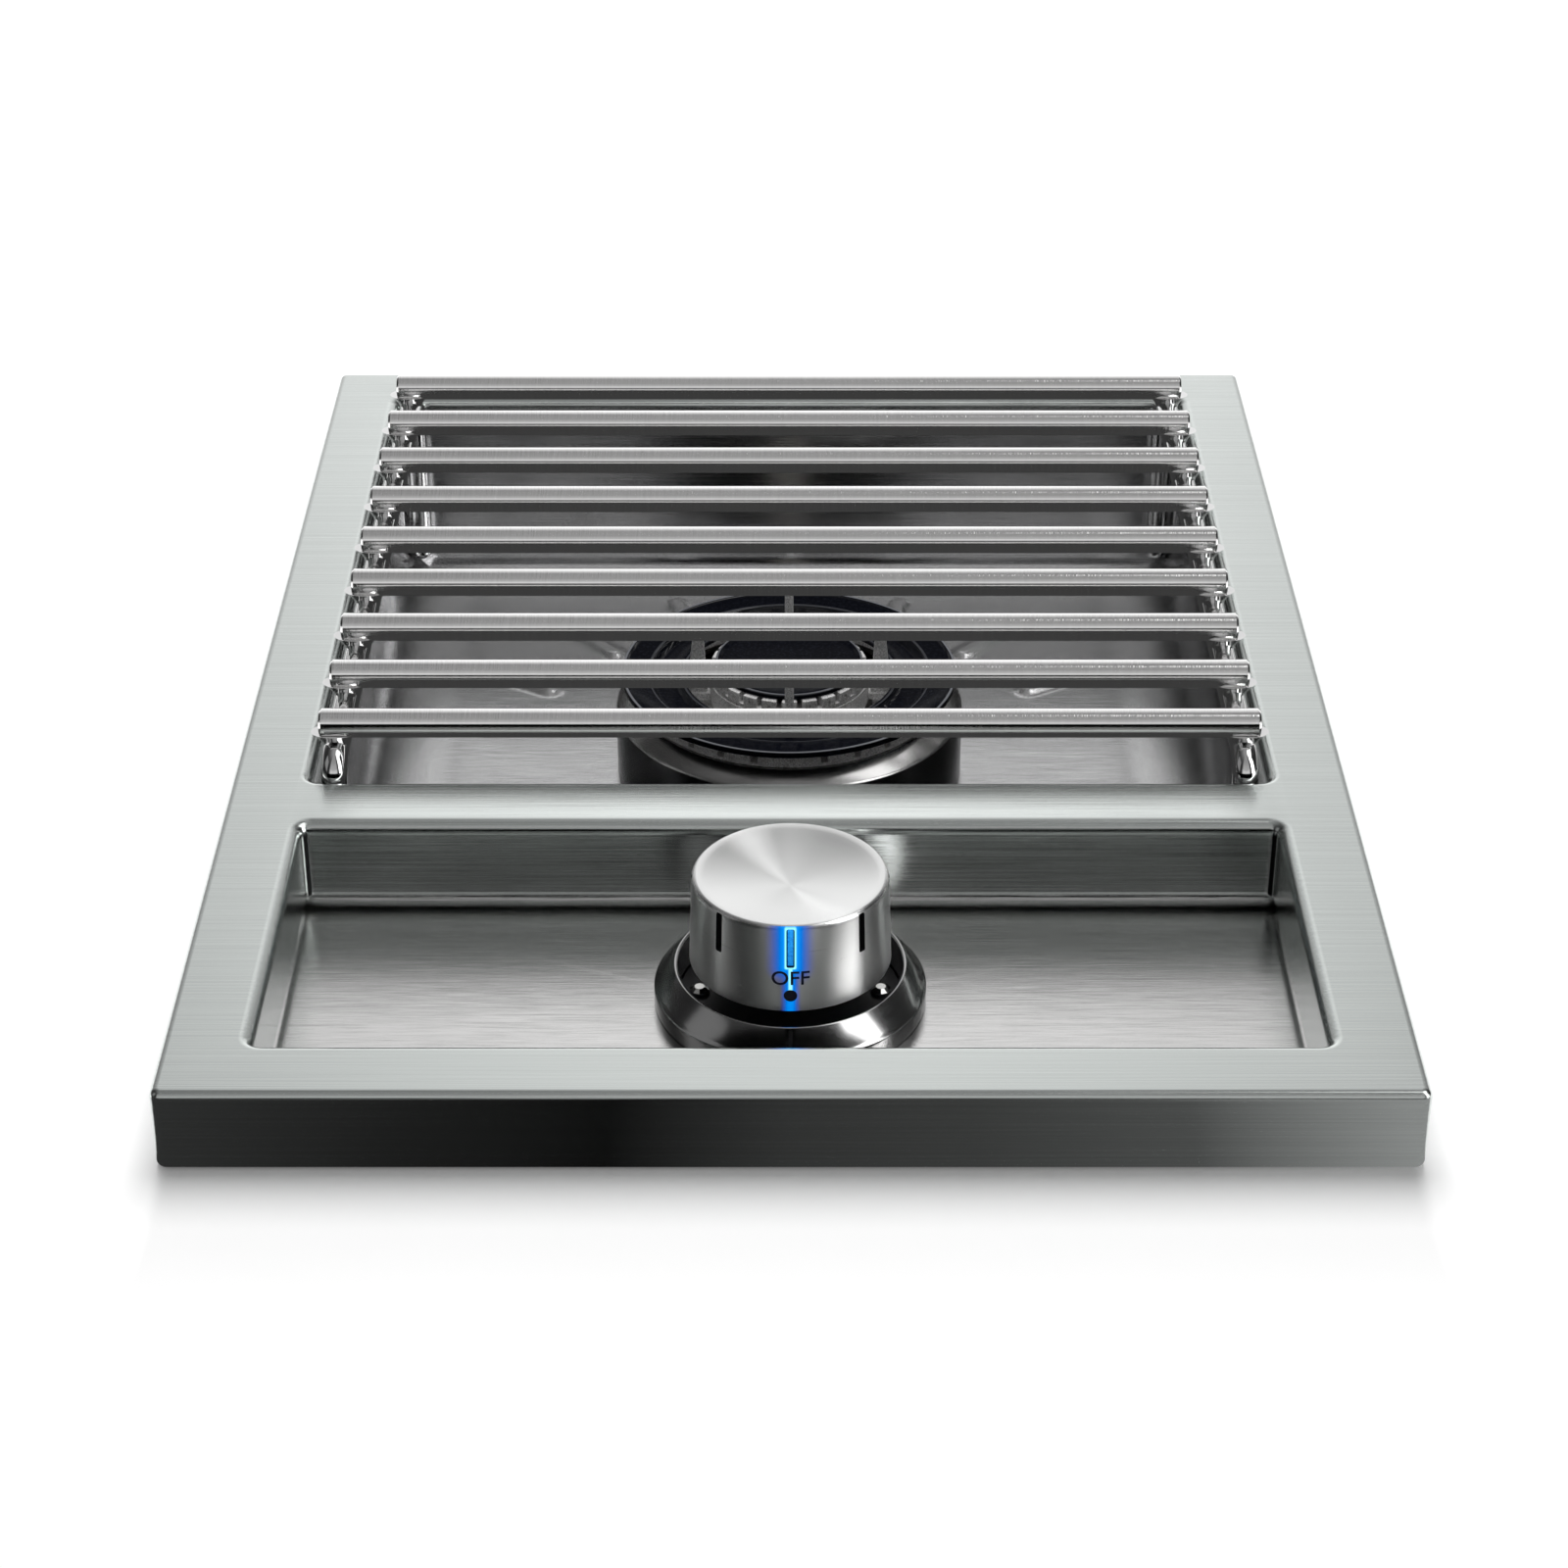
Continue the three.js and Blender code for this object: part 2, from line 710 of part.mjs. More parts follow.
// Knob: a turned shell with a dished top and slots, a hub inside, and a light guide in the front slot
const knobTopHeight = 12.6;
const knobSkirtDepth = 15;
const knobWall = 2.2;
const knobDish = 4.2;
const knobEdge = 1.7;
const knobTopThickness = 3;
const knobDishSteps = 5;
const slotCount = 8;
const slotWidth = 2.2;
const slotLength = 12.4;
const slotDepth = 1.5;
const slotTopGap = 0.8;
const dotRadius = 1.9;
const dotDepth = 0.6;
const dotRise = 5.2;
const hubRadius = 8;
const hubDrop = 21;
const webThickness = 4;
const stemRadius = 4;
const stemFlat = 1;
const knobRimZ = topZ + knobTopHeight;
const knobSkirtZ = topZ - knobSkirtDepth;
const knobCavityZ = knobRimZ - knobDish - knobTopThickness;
const slotTopZ = knobRimZ - slotTopGap;
const hubTopZ = knobCavityZ - fitGap;
const hubBottomZ = hubTopZ - hubDrop;
const hubBoreDepth = 15;

function slotCutter(width, from, to, degrees) {
  return block(
    [-width / 2, -to, slotTopZ - slotLength],
    [width / 2, -from, slotTopZ],
  ).rotateZ(THREE.MathUtils.degToRad(degrees)).translate(knobX, knobY, 0);
}

function knobShell() {
  const dishRadius = knobRadius - knobEdge;
  const dish = Array.from({ length: knobDishSteps + 1 }, (_, step) => {
    const share = step / knobDishSteps;
    return [dishRadius * share, knobRimZ - knobDish * (1 - share ** 2)];
  });
  const shell = turned([
    ...dish,
    ...arc(dishRadius, knobRimZ - knobEdge, knobEdge, 60, 0, 2),
    [knobSkirtRadius, knobSkirtZ],
    [knobSkirtRadius - knobWall, knobSkirtZ],
    [knobRadius - knobWall, knobCavityZ],
    [0, knobCavityZ],
  ], fineSides, knobX, knobY);
  const slots = Array.from({ length: slotCount }, (_, place) => {
    const depth = place ? slotDepth : knobWall + overrun;
    return slotCutter(slotWidth, knobRadius - depth, knobSkirtRadius + overrun, (360 * place) / slotCount);
  });
  const dot = barAlongY(
    dotRadius,
    knobY - knobSkirtRadius - overrun,
    knobY - knobSkirtRadius + dotDepth,
    knobX,
    knobSkirtZ + dotRise,
    smallSides,
  );
  return cut(shell, ...slots, dot);
}

add('knob_shell', knobShell(), 'satin');

const hubOuter = knobRadius - knobWall - fitGap;
add(
  'knob_hub',
  turned([
    [0, hubTopZ],
    [hubOuter, hubTopZ],
    [hubOuter, hubTopZ - webThickness],
    [hubRadius, hubTopZ - webThickness],
    [hubRadius, hubBottomZ],
    [stemRadius + fitGap, hubBottomZ],
    [stemRadius + fitGap, hubBottomZ + hubBoreDepth],
    [0, hubBottomZ + hubBoreDepth],
  ], roundSides, knobX, knobY),
  'blackPlastic',
);

const guideInset = 0.3;
add(
  'light_guide',
  block(
    [knobX - slotWidth / 2 + fitGap, knobY - knobRadius + guideInset, slotTopZ - slotLength + fitGap],
    [knobX + slotWidth / 2 - fitGap, knobY - knobRadius + knobWall - fitGap, slotTopZ - fitGap],
  ),
  'lamp',
);

// Valve under the tray: bracket, bonnet with the spring, body with a tapered plug, and the stem
const bracketThickness = 2;
const bracketHalfX = 32;
const bracketHalfY = 18;
const bonnetRadius = 11;
const bonnetWall = 1.5;
const bonnetCavity = 8;
const bonnetDepth = 12.4;
const earEnd = 3;
const earWidth = 16;
const earThickness = 3;
const bodyEarThickness = 6;
const bonnetScrewHead = 2.6;
const bonnetScrewGap = 0.4;
const bonnetScrewHeight = 1.4;
const bonnetScrewShank = 1.2;
const bonnetScrewHole = 1.5;
const bonnetScrewLength = 7;
const washerGap = 0.6;
const washerRadius = bonnetCavity - washerGap;
const washerHeight = 1;
const collarInset = 0.9;
const collarRadius = washerRadius - collarInset;
const collarHeight = 1.6;
const bodyRadius = 13;
const bodyHeight = 36;
const boreTaper = 2;
const boreTopRadius = bonnetCavity + fitGap;
const boreBottomRadius = boreTopRadius - boreTaper;
const boreDepth = 28;
const plugStandDown = 3;
const tongueRadius = 3;
const tongueDepth = 4;
const plugHoleDepth = 9;
const wireRadius = 0.5;
const springInset = 1.1;
const springRadius = washerRadius - springInset;
const springTurns = 3.5;
const springStepsPerTurn = 10;
const springSides = 5;
const bossRadius = 6.5;
const bossReach = 17;
const outletRadius = 4.6;
const bracketTopZ = trayFloorZ - linerSheet - fitGap;
const bonnetTopZ = bracketTopZ - bracketThickness - fitGap;
const bonnetBottomZ = bonnetTopZ - bonnetDepth;
const bodyTopZ = bonnetBottomZ - fitGap;
const collarTopZ = bonnetTopZ - bonnetWall - fitGap;
const washerTopZ = collarTopZ - collarHeight - fitGap;
const plugTopZ = bodyTopZ - plugStandDown;
const springTopZ = washerTopZ - washerHeight - fitGap;
const springBottomZ = plugTopZ + fitGap;
const valveInletZ = bodyTopZ - bodyHeight / 2;
const bonnetScrewReach = bonnetRadius + bonnetScrewHead + bonnetScrewGap;
const bonnetScrewXs = [knobX - bonnetScrewReach, knobX + bonnetScrewReach];

function bracket() {
  const plate = block(
    [knobX - bracketHalfX, knobY - bracketHalfY, bracketTopZ - bracketThickness],
    [knobX + bracketHalfX, knobY + bracketHalfY, bracketTopZ],
  );
  return cut(plate, ...trayHoles(bracketTopZ - bracketThickness - overrun, bracketTopZ + overrun));
}

add('valve_bracket', bracket(), 'galvanised');

function earBlock(low, high) {
  return block(
    [knobX - bonnetScrewReach - earEnd, knobY - earWidth / 2, low],
    [knobX + bonnetScrewReach + earEnd, knobY + earWidth / 2, high],
  );
}

function bonnetScrewHoles(low, high) {
  return bonnetScrewXs.map((x) => post(bonnetScrewHole, low, high, x, knobY, smallSides));
}

function valveBonnet() {
  return cut(
    join(
      post(bonnetRadius, bonnetBottomZ, bonnetTopZ, knobX, knobY),
      earBlock(bonnetBottomZ, bonnetBottomZ + earThickness),
    ),
    post(bonnetCavity, bonnetBottomZ - overrun, bonnetTopZ - bonnetWall, knobX, knobY),
    post(stemRadius + fitGap, bonnetBottomZ, bonnetTopZ + overrun, knobX, knobY),
    ...bonnetScrewHoles(bonnetBottomZ - overrun, bonnetTopZ),
  );
}

add('valve_bonnet', valveBonnet(), 'brass');

function valveBody() {
  const bodyBottomZ = bodyTopZ - bodyHeight;
  const inletBoss = sideways(post(bossRadius, 0, bossReach), knobX, knobY, valveInletZ);
  const outletBosses = [-gasTubeX, gasTubeX].map((x) => (
    barAlongY(outletRadius, knobY, knobY + bossReach, knobX + x, valveInletZ)
  ));
  return cut(
    join(
      post(bodyRadius, bodyBottomZ, bodyTopZ, knobX, knobY),
      earBlock(bodyTopZ - bodyEarThickness, bodyTopZ),
      inletBoss,
      ...outletBosses,
    ),
    turned([
      [0, bodyTopZ - boreDepth],
      [boreBottomRadius, bodyTopZ - boreDepth],
      [boreTopRadius, bodyTopZ],
      [boreTopRadius, bodyTopZ + overrun],
      [0, bodyTopZ + overrun],
    ], roundSides, knobX, knobY),
    ...bonnetScrewHoles(bodyTopZ - bodyEarThickness - overrun, bodyTopZ + overrun),
  );
}

add('valve_body', valveBody(), 'brass');

function plugRadius(z) {
  const share = (bodyTopZ - z) / boreDepth;
  return THREE.MathUtils.lerp(boreTopRadius, boreBottomRadius, share) - fitGap;
}

const plugBottomZ = bodyTopZ - boreDepth + fitGap;
add(
  'valve_plug',
  turned([
    [0, plugBottomZ],
    [plugRadius(plugBottomZ), plugBottomZ],
    [plugRadius(plugTopZ), plugTopZ],
    [tongueRadius + fitGap, plugTopZ],
    [tongueRadius + fitGap, plugTopZ - plugHoleDepth],
    [0, plugTopZ - plugHoleDepth],
  ], roundSides, knobX, knobY),
  'brass',
);

bonnetScrewXs.forEach((x, index) => {
  const made = screw(bonnetScrewHead, bonnetScrewHeight, bonnetScrewShank, bonnetScrewLength)
    .translate(x, knobY, bonnetBottomZ + earThickness + fitGap);
  add(`bonnet_screw_${index ? 'right' : 'left'}`, made, 'polished');
});

function valveStem() {
  const tipZ = hubBottomZ + hubBoreDepth - fitGap;
  const shaft = turned([
    [0, tipZ],
    [stemRadius, tipZ],
    [stemRadius, collarTopZ],
    [collarRadius, collarTopZ],
    [collarRadius, collarTopZ - collarHeight],
    [tongueRadius, collarTopZ - collarHeight],
    [tongueRadius, plugTopZ - tongueDepth],
    [0, plugTopZ - tongueDepth],
  ], roundSides, knobX, knobY);
  const flat = block(
    [knobX - stemRadius, knobY + stemRadius - stemFlat, hubBottomZ],
    [knobX + stemRadius, knobY + stemRadius + overrun, tipZ + overrun],
  );
  return cut(shaft, flat);
}

add('valve_stem', valveStem(), 'brass');

add(
  'thrust_washer',
  turned([
    [tongueRadius + fitGap, washerTopZ],
    [washerRadius, washerTopZ],
    [washerRadius, washerTopZ - washerHeight],
    [tongueRadius + fitGap, washerTopZ - washerHeight],
    [tongueRadius + fitGap, washerTopZ],
  ], roundSides, knobX, knobY),
  'polished',
);

// The helix of the return spring
class Helix extends THREE.Curve {
  getPoint(share, target = new THREE.Vector3()) {
    const angle = 2 * Math.PI * springTurns * share;
    const low = springBottomZ + wireRadius;
    const high = springTopZ - wireRadius;
    return target.set(
      knobX + springRadius * Math.cos(angle),
      knobY + springRadius * Math.sin(angle),
      THREE.MathUtils.lerp(low, high, share),
    );
  }
}

function returnSpring() {
  const section = Array.from({ length: springSides }, (_, side) => {
    const angle = (2 * Math.PI * side) / springSides;
    return new THREE.Vector2(wireRadius * Math.cos(angle), wireRadius * Math.sin(angle));
  });
  return new THREE.ExtrudeGeometry(new THREE.Shape(section), {
    steps: springTurns * springStepsPerTurn,
    extrudePath: new Helix(),
    bevelEnabled: false,
  });
}

add('return_spring', returnSpring(), 'polished');

// Burner: base cup and mixer on the pan, a crown that lifts off, and two enamel caps
const baseWall = 2.4;
const shoulderRun = 6.6;
const shoulderDrop = 4;
const baseTopDepth = 47;
const shoulderRadius = baseRadius - shoulderRun;
const shoulderWidth = 2;
const ledgeWidth = 7.2;
const ledgeOuterRadius = shoulderRadius - shoulderWidth;
const ledgeInnerRadius = ledgeOuterRadius - ledgeWidth;
const ledgeDrop = 2;
const ledgeThickness = 2;
const baseEdge = 0.7;
const mixerRadius = 42;
const mixerFlange = 2;
const mixerTopGap = 2.6;
const venturiRadius = 7;
const venturiOffset = 22;
const centreTubeRadius = 12;
const baseTopZ = topZ - baseTopDepth;
const ledgeZ = baseTopZ - ledgeDrop;
const panSeatZ = panFloorZ + fitGap;
const crownSeatZ = ledgeZ + fitGap;

add(
  'burner_base',
  turned([
    [baseRadius, panSeatZ],
    [baseRadius, baseTopZ - shoulderDrop - baseEdge],
    [baseRadius - baseEdge, baseTopZ - shoulderDrop],
    [shoulderRadius, baseTopZ],
    [ledgeOuterRadius, baseTopZ],
    [ledgeOuterRadius, ledgeZ],
    [ledgeInnerRadius, ledgeZ],
    [ledgeInnerRadius, ledgeZ - ledgeThickness],
    [ledgeOuterRadius, ledgeZ - ledgeThickness],
    [baseRadius - baseWall, baseTopZ - shoulderDrop - baseWall],
    [baseRadius - baseWall, panSeatZ],
    [baseRadius, panSeatZ],
  ], fineSides, 0, burnerY),
  'polished',
);

function burnerMixer() {
  const bottomZ = panFloorZ - mixerDrop;
  const topOfBody = crownSeatZ - mixerTopGap;
  const body = turned([
    [0, bottomZ],
    [mixerHoleRadius - fitGap, bottomZ],
    [mixerHoleRadius - fitGap, panSeatZ],
    [mixerRadius, panSeatZ],
    [mixerRadius, panSeatZ + mixerFlange],
    [mixerHoleRadius, panSeatZ + mixerFlange],
    [mixerHoleRadius, topOfBody],
    [centreTubeRadius, topOfBody],
    [centreTubeRadius, crownSeatZ - fitGap],
    [0, crownSeatZ - fitGap],
  ], roundSides, 0, burnerY);
  return cut(
    body,
    post(venturiRadius, bottomZ - overrun, crownSeatZ + overrun, 0, burnerY),
    post(venturiRadius, bottomZ - overrun, crownSeatZ + overrun, venturiOffset, burnerY),
  );
}

add('burner_mixer', burnerMixer(), 'casting');

const crownInset = 0.2;
const crownTaper = 0.6;
const crownWall = 4.5;
const crownRadius = shoulderRadius - crownInset;
const crownTopRadius = crownRadius - crownTaper;
const crownWallRadius = crownRadius - crownWall;
const crownRise = 6.5;
const crownWeb = 2.2;
const notchPositions = 28;
const notchWidth = 2.5;
const notchDepth = 3;
const channelInset = 1;
const channelWidth = 8;
const innerLipWidth = 3.5;
const channelOuter = crownWallRadius - channelInset;
const channelInner = channelOuter - channelWidth;
const outerCapInner = channelInner - innerLipWidth;
const ringGap = 9;
const innerCrownRadius = outerCapInner - ringGap;
const hubRingLip = 0.4;
const hubRingWidth = 9.4;
const hubRingHeight = 7.4;
const hubRingOuter = innerCrownRadius + hubRingLip;
const hubRingInner = hubRingOuter - hubRingWidth;
const armWidth = 6;
const finThickness = 3;
const finCapGap = 0.5;
const finRingGap = 1;
const finTopInset = 1.5;
const finTopWidth = 3.5;
const finHeight = 24.5;
const finOuterRadius = outerCapInner - finCapGap;
const finInnerRadius = innerCrownRadius + finRingGap;
const finTopInner = finInnerRadius + finTopInset;
const finTopOuter = finTopInner + finTopWidth;
const quarterTurns = [0, 90, 180, 270];
const crownTopZ = baseTopZ + crownRise;

function fin(degrees) {
  const outline = new THREE.Shape([
    new THREE.Vector2(finInnerRadius, 0),
    new THREE.Vector2(finOuterRadius, 0),
    new THREE.Vector2(finTopOuter, finHeight),
    new THREE.Vector2(finTopInner, finHeight),
  ]);
  return new THREE.ExtrudeGeometry(outline, { depth: finThickness, bevelEnabled: false })
    .rotateX(Math.PI / 2)
    .translate(0, finThickness / 2, crownSeatZ)
    .rotateZ(THREE.MathUtils.degToRad(degrees))
    .translate(0, burnerY, 0);
}

function crownArm(degrees) {
  return block(
    [hubRingOuter - overrun, -armWidth / 2, crownSeatZ],
    [ledgeInnerRadius + overrun, armWidth / 2, crownSeatZ + crownWeb],
  ).rotateZ(THREE.MathUtils.degToRad(degrees)).translate(0, burnerY, 0);
}

function outerCrown() {
  const rimRing = turned([
    [ledgeInnerRadius, crownSeatZ],
    [ledgeOuterRadius - fitGap, crownSeatZ],
    [ledgeOuterRadius - fitGap, baseTopZ + fitGap],
    [crownRadius, baseTopZ + fitGap],
    [crownTopRadius, crownTopZ],
    [crownWallRadius, crownTopZ],
    [crownWallRadius, crownSeatZ + crownWeb],
    [ledgeInnerRadius, crownSeatZ + crownWeb],
    [ledgeInnerRadius, crownSeatZ],
  ], fineSides, 0, burnerY);
  const hubRing = turned([
    [hubRingInner, crownSeatZ],
    [hubRingOuter, crownSeatZ],
    [hubRingOuter, crownSeatZ + hubRingHeight],
    [hubRingInner, crownSeatZ + hubRingHeight],
    [hubRingInner, crownSeatZ],
  ], roundSides, 0, burnerY);
  const slots = [];
  for (let place = 0; place < notchPositions; place += 1) {
    if (place % (notchPositions / quarterTurns.length) === 0) continue;
    slots.push(block(
      [crownWallRadius - overrun, -notchWidth / 2, crownTopZ - notchDepth],
      [crownRadius + overrun, notchWidth / 2, crownTopZ + overrun],
    ).rotateZ((2 * Math.PI * place) / notchPositions).translate(0, burnerY, 0));
  }
  return cut(
    join(rimRing, hubRing, ...quarterTurns.map(crownArm), ...quarterTurns.map(fin)),
    ...slots,
  );
}

add('outer_crown', outerCrown(), 'casting');

const innerCrownWall = 5;
const innerCrownInner = innerCrownRadius - innerCrownWall;
const innerCrownHeight = 4.6;
const innerNotchCount = 24;
const innerNotchWidth = 2;
const innerNotchDepth = 3.4;
const innerCrownSeatZ = crownSeatZ + hubRingHeight + fitGap;
const innerCrownTopZ = innerCrownSeatZ + innerCrownHeight;

function innerCrown() {
  const ring = turned([
    [innerCrownInner, innerCrownSeatZ],
    [innerCrownRadius, innerCrownSeatZ],
    [innerCrownRadius, innerCrownTopZ],
    [innerCrownInner, innerCrownTopZ],
    [innerCrownInner, innerCrownSeatZ],
  ], fineSides, 0, burnerY);
  const slots = Array.from({ length: innerNotchCount }, (_, place) => block(
    [innerCrownInner - overrun, -innerNotchWidth / 2, innerCrownTopZ - innerNotchDepth],
    [innerCrownRadius + overrun, innerNotchWidth / 2, innerCrownTopZ + overrun],
  ).rotateZ((2 * Math.PI * (place + 0.5)) / innerNotchCount).translate(0, burnerY, 0));
  return cut(ring, ...slots);
}

add('inner_crown', innerCrown(), 'casting');

const capThickness = 1.2;
const capLip = 0.8;
const capLipWidth = 1;
const capOverhang = 4.6;
const outerCapRadius = crownRadius + capOverhang;
const channelDrop = 3.4;
const innerLipDrop = 1.2;
const capUnderZ = crownTopZ + fitGap;
const capTopZ = capUnderZ + capThickness;

add(
  'outer_cap',
  turned([
    [outerCapRadius, capUnderZ],
    [outerCapRadius, capTopZ + capLip],
    [outerCapRadius - capLipWidth, capTopZ + capLip],
    [outerCapRadius - 2 * capLipWidth, capTopZ],
    [channelOuter + capThickness, capTopZ],
    [channelOuter - capThickness, capTopZ - channelDrop],
    [channelInner, capTopZ - channelDrop],
    [outerCapInner + capLipWidth, capTopZ - innerLipDrop],
    [outerCapInner, capTopZ - innerLipDrop],
    [outerCapInner, capTopZ - innerLipDrop - capThickness],
    [channelInner, capUnderZ - channelDrop],
    [channelOuter - capThickness, capUnderZ - channelDrop],
    [channelOuter, capUnderZ],
    [outerCapRadius, capUnderZ],
  ], fineSides, 0, burnerY),
  'enamel',
);

const innerCapInset = 1.7;
const innerCapRadius = innerCrownRadius - innerCapInset;
const innerCapThickness = 1.6;
const innerCapSkirt = 1.2;
const innerCapUnderZ = innerCrownTopZ + fitGap;
const innerCapTopZ = innerCapUnderZ + innerCapThickness;

add(
  'inner_cap',
  turned([
    [0, innerCapTopZ - capLip],
    [innerCapRadius - 3 * capLipWidth, innerCapTopZ - capLip],
    [innerCapRadius - capLipWidth, innerCapTopZ],
    [innerCapRadius, innerCapTopZ],
    [innerCapRadius, innerCapUnderZ],
    [innerCrownInner - fitGap, innerCapUnderZ],
    [innerCrownInner - fitGap, innerCapUnderZ - innerCapSkirt],
    [0, innerCapUnderZ - innerCapSkirt],
  ], fineSides, 0, burnerY),
  'enamel',
);

// Gas side: injectors under the mixer, two tubes from the valve, the supply tube and its fitting
const injectorRadius = 5.5;
const injectorFlange = 9;
const injectorTip = 3;
const injectorTipHeight = 7;
const injectorBottomZ = gasTubeZ - injectorRadius;
const tubeBend = 9;
const supplyBend = 14;
const tubeRun = 14;

const injectors = { inner: 0, outer: venturiOffset };
for (const [ring, x] of Object.entries(injectors)) {
  add(
    `injector_${ring}`,
    turned([
      [0, injectorBottomZ],
      [injectorRadius, injectorBottomZ],
      [injectorRadius, injectorTopZ - injectorFlangeHeight],
      [injectorFlange, injectorTopZ - injectorFlangeHeight],
      [injectorFlange, injectorTopZ],
      [injectorTip, injectorTopZ],
      [injectorTip, injectorTopZ + injectorTipHeight],
      [0, injectorTopZ + injectorTipHeight],
    ], smallSides, x, burnerY),
    'brass',
  );
}

function gasTube(valveX, burnerX) {
  const start = knobY + bossReach + fitGap;
  const turnY = start + tubeRun;
  const end = burnerY - injectorRadius - fitGap;
  return bentBar([
    [knobX + valveX, start, valveInletZ],
    [knobX + valveX, turnY, valveInletZ],
    [knobX + valveX, turnY, gasTubeZ],
    [knobX + valveX, end - 2 * tubeRun, gasTubeZ],
    [burnerX, end - tubeRun, gasTubeZ],
    [burnerX, end, gasTubeZ],
  ], gasTubeRadius, tubeBend / 2);
}

add('inner_gas_tube', gasTube(-gasTubeX, injectors.inner), 'tubing');
add('outer_gas_tube', gasTube(gasTubeX, injectors.outer), 'tubing');

const fittingHex = 9;
const fittingHexLength = 10;
const fittingThread = 6.6;
const fittingBore = 3.2;
const fittingReach = 12;
const fittingFlange = 10;
const fittingFlangeThickness = 2;

function inletFitting() {
  const flangeY = rearPanelY - fitGap;
  const endY = rearPanelY + sheet + fittingReach;
  const hexEnd = flangeY - fittingFlangeThickness - fittingHexLength;
  return cut(
    join(
      barAlongY(fittingFlange, flangeY - fittingFlangeThickness, flangeY, inletX, inletZ, roundSides),
      barAlongY(fittingHex, hexEnd, flangeY - fittingFlangeThickness / 2, inletX, inletZ, 6),
      barAlongY(fittingThread, flangeY - fittingFlangeThickness, endY, inletX, inletZ, roundSides),
    ),
    barAlongY(fittingBore, flangeY, endY + overrun, inletX, inletZ),
  );
}

add('inlet_fitting', inletFitting(), 'brass');

const fittingFaceY = rearPanelY - fitGap - fittingFlangeThickness - fittingHexLength;
add(
  'supply_tube',
  bentBar([
    [knobX + bossReach + fitGap, knobY, valveInletZ],
    [inletX, knobY, valveInletZ],
    [inletX, knobY, inletZ],
    [inletX, fittingFaceY - fitGap, inletZ],
  ], supplyRadius, supplyBend),
  'tubing',
);

// Ignition: electrode through the pan, spark module on the casing, and the two leads
const ceramicBelowBase = 9;
const ceramicBottomDrop = 14;
const ceramicFlange = 5;
const ceramicFlangeHeight = 2;
const pinRadius = 0.8;
const pinHeight = 6;
const moduleWidth = 20;
const moduleLength = 60;
const moduleGap = 17.5;
const moduleHeight = panFloorZ - baseUpstand - 2 * moduleGap;
const moduleBehindShield = 62;
const moduleFrontY = shieldY + moduleBehindShield;
const leadBend = 6;
const ceramicTopZ = baseTopZ - ceramicBelowBase;
const ceramicBottomZ = panFloorZ - ceramicBottomDrop;
const ceramicFlangeTopZ = panFloorZ - linerSheet - fitGap;

add(
  'igniter_ceramic',
  turned([
    [0, ceramicBottomZ],
    [ceramicRadius, ceramicBottomZ],
    [ceramicRadius, ceramicFlangeTopZ - ceramicFlangeHeight],
    [ceramicFlange, ceramicFlangeTopZ - ceramicFlangeHeight],
    [ceramicFlange, ceramicFlangeTopZ],
    [ceramicRadius, ceramicFlangeTopZ],
    [ceramicRadius, ceramicTopZ],
    [0, ceramicTopZ],
  ], smallSides, 0, igniterY),
  'ceramic',
);
add(
  'igniter_pin',
  post(pinRadius, ceramicTopZ + fitGap, ceramicTopZ + fitGap + pinHeight, 0, igniterY, smallSides),
  'polished',
);

const moduleInsideX = -panelInsideX + fitGap;
add(
  'spark_module',
  block(
    [moduleInsideX, moduleFrontY, moduleZ - moduleHeight / 2],
    [moduleInsideX + moduleWidth, moduleFrontY + moduleLength, moduleZ + moduleHeight / 2],
  ),
  'blackPlastic',
);

const leadX = moduleInsideX + moduleWidth / 2;
add(
  'igniter_lead',
  bentBar([
    [0, igniterY, ceramicBottomZ - fitGap],
    [0, igniterY, moduleZ],
    [leadX, igniterY, moduleZ],
    [leadX, moduleFrontY + moduleLength + fitGap, moduleZ],
  ], leadRadius, leadBend, leadSides),
  'leadSleeve',
);

const lampLeadRadius = 1.2;
const lampLeadZ = bracketTopZ - 2 * leadBend;
add(
  'lamp_lead',
  bentBar([
    [knobX, lampY, cupTopZ],
    [knobX, lampY, lampLeadZ],
    [lampLeadX, lampY, lampLeadZ],
    [lampLeadX, lampY, moduleZ],
    [lampLeadX, moduleFrontY - fitGap, moduleZ],
  ], lampLeadRadius, leadBend, leadSides),
  'blackPlastic',
);

// Grate: cross rods on two side rails, whose ends bend down to feet that stand in the pan
const rodCount = 9;
const rodEndGap = 1.5;
const rodChamfer = 0.7;
const railInset = 6;
const railAxisHeight = 2.6;
const legReach = 9.1;
const legEndGap = 5.3;
const railBend = 8;
const footGap = 0.6;
const flareTop = 7.4;
const flareNeck = 3.9;
const flareDepth = 4.6;
const flareDrop = 2.2;
const flareSides = 8;
const railZ = topZ + railAxisHeight;
const rodZ = railZ + railRadius + fitGap + rodRadius;
const halfRod = halfOpening - rodEndGap;
const railX = halfOpening - railInset;
const firstRodY = panFront + legEndGap + legReach;
const rodPitch = (panBack - legEndGap - legReach - firstRodY) / (rodCount - 1);
const rodPlaces = Array.from({ length: rodCount }, (_, row) => firstRodY + row * rodPitch);
const footReach = panSideBend - railRadius - footGap;
const footZ = panFloorZ + panSideBend - Math.sqrt(footReach ** 2 - (railX - bendCentreX) ** 2);

function grateRod(y) {
  return turned([
    [0, -halfRod],
    [rodRadius - rodChamfer, -halfRod],
    [rodRadius, rodChamfer - halfRod],
    [rodRadius, halfRod - rodChamfer],
    [rodRadius - rodChamfer, halfRod],
    [0, halfRod],
  ], roundSides).rotateY(Math.PI / 2).translate(0, y, rodZ);
}

rodPlaces.forEach((y, row) => {
  add(`grate_rod_${row + 1}`, grateRod(y), 'satin');
});

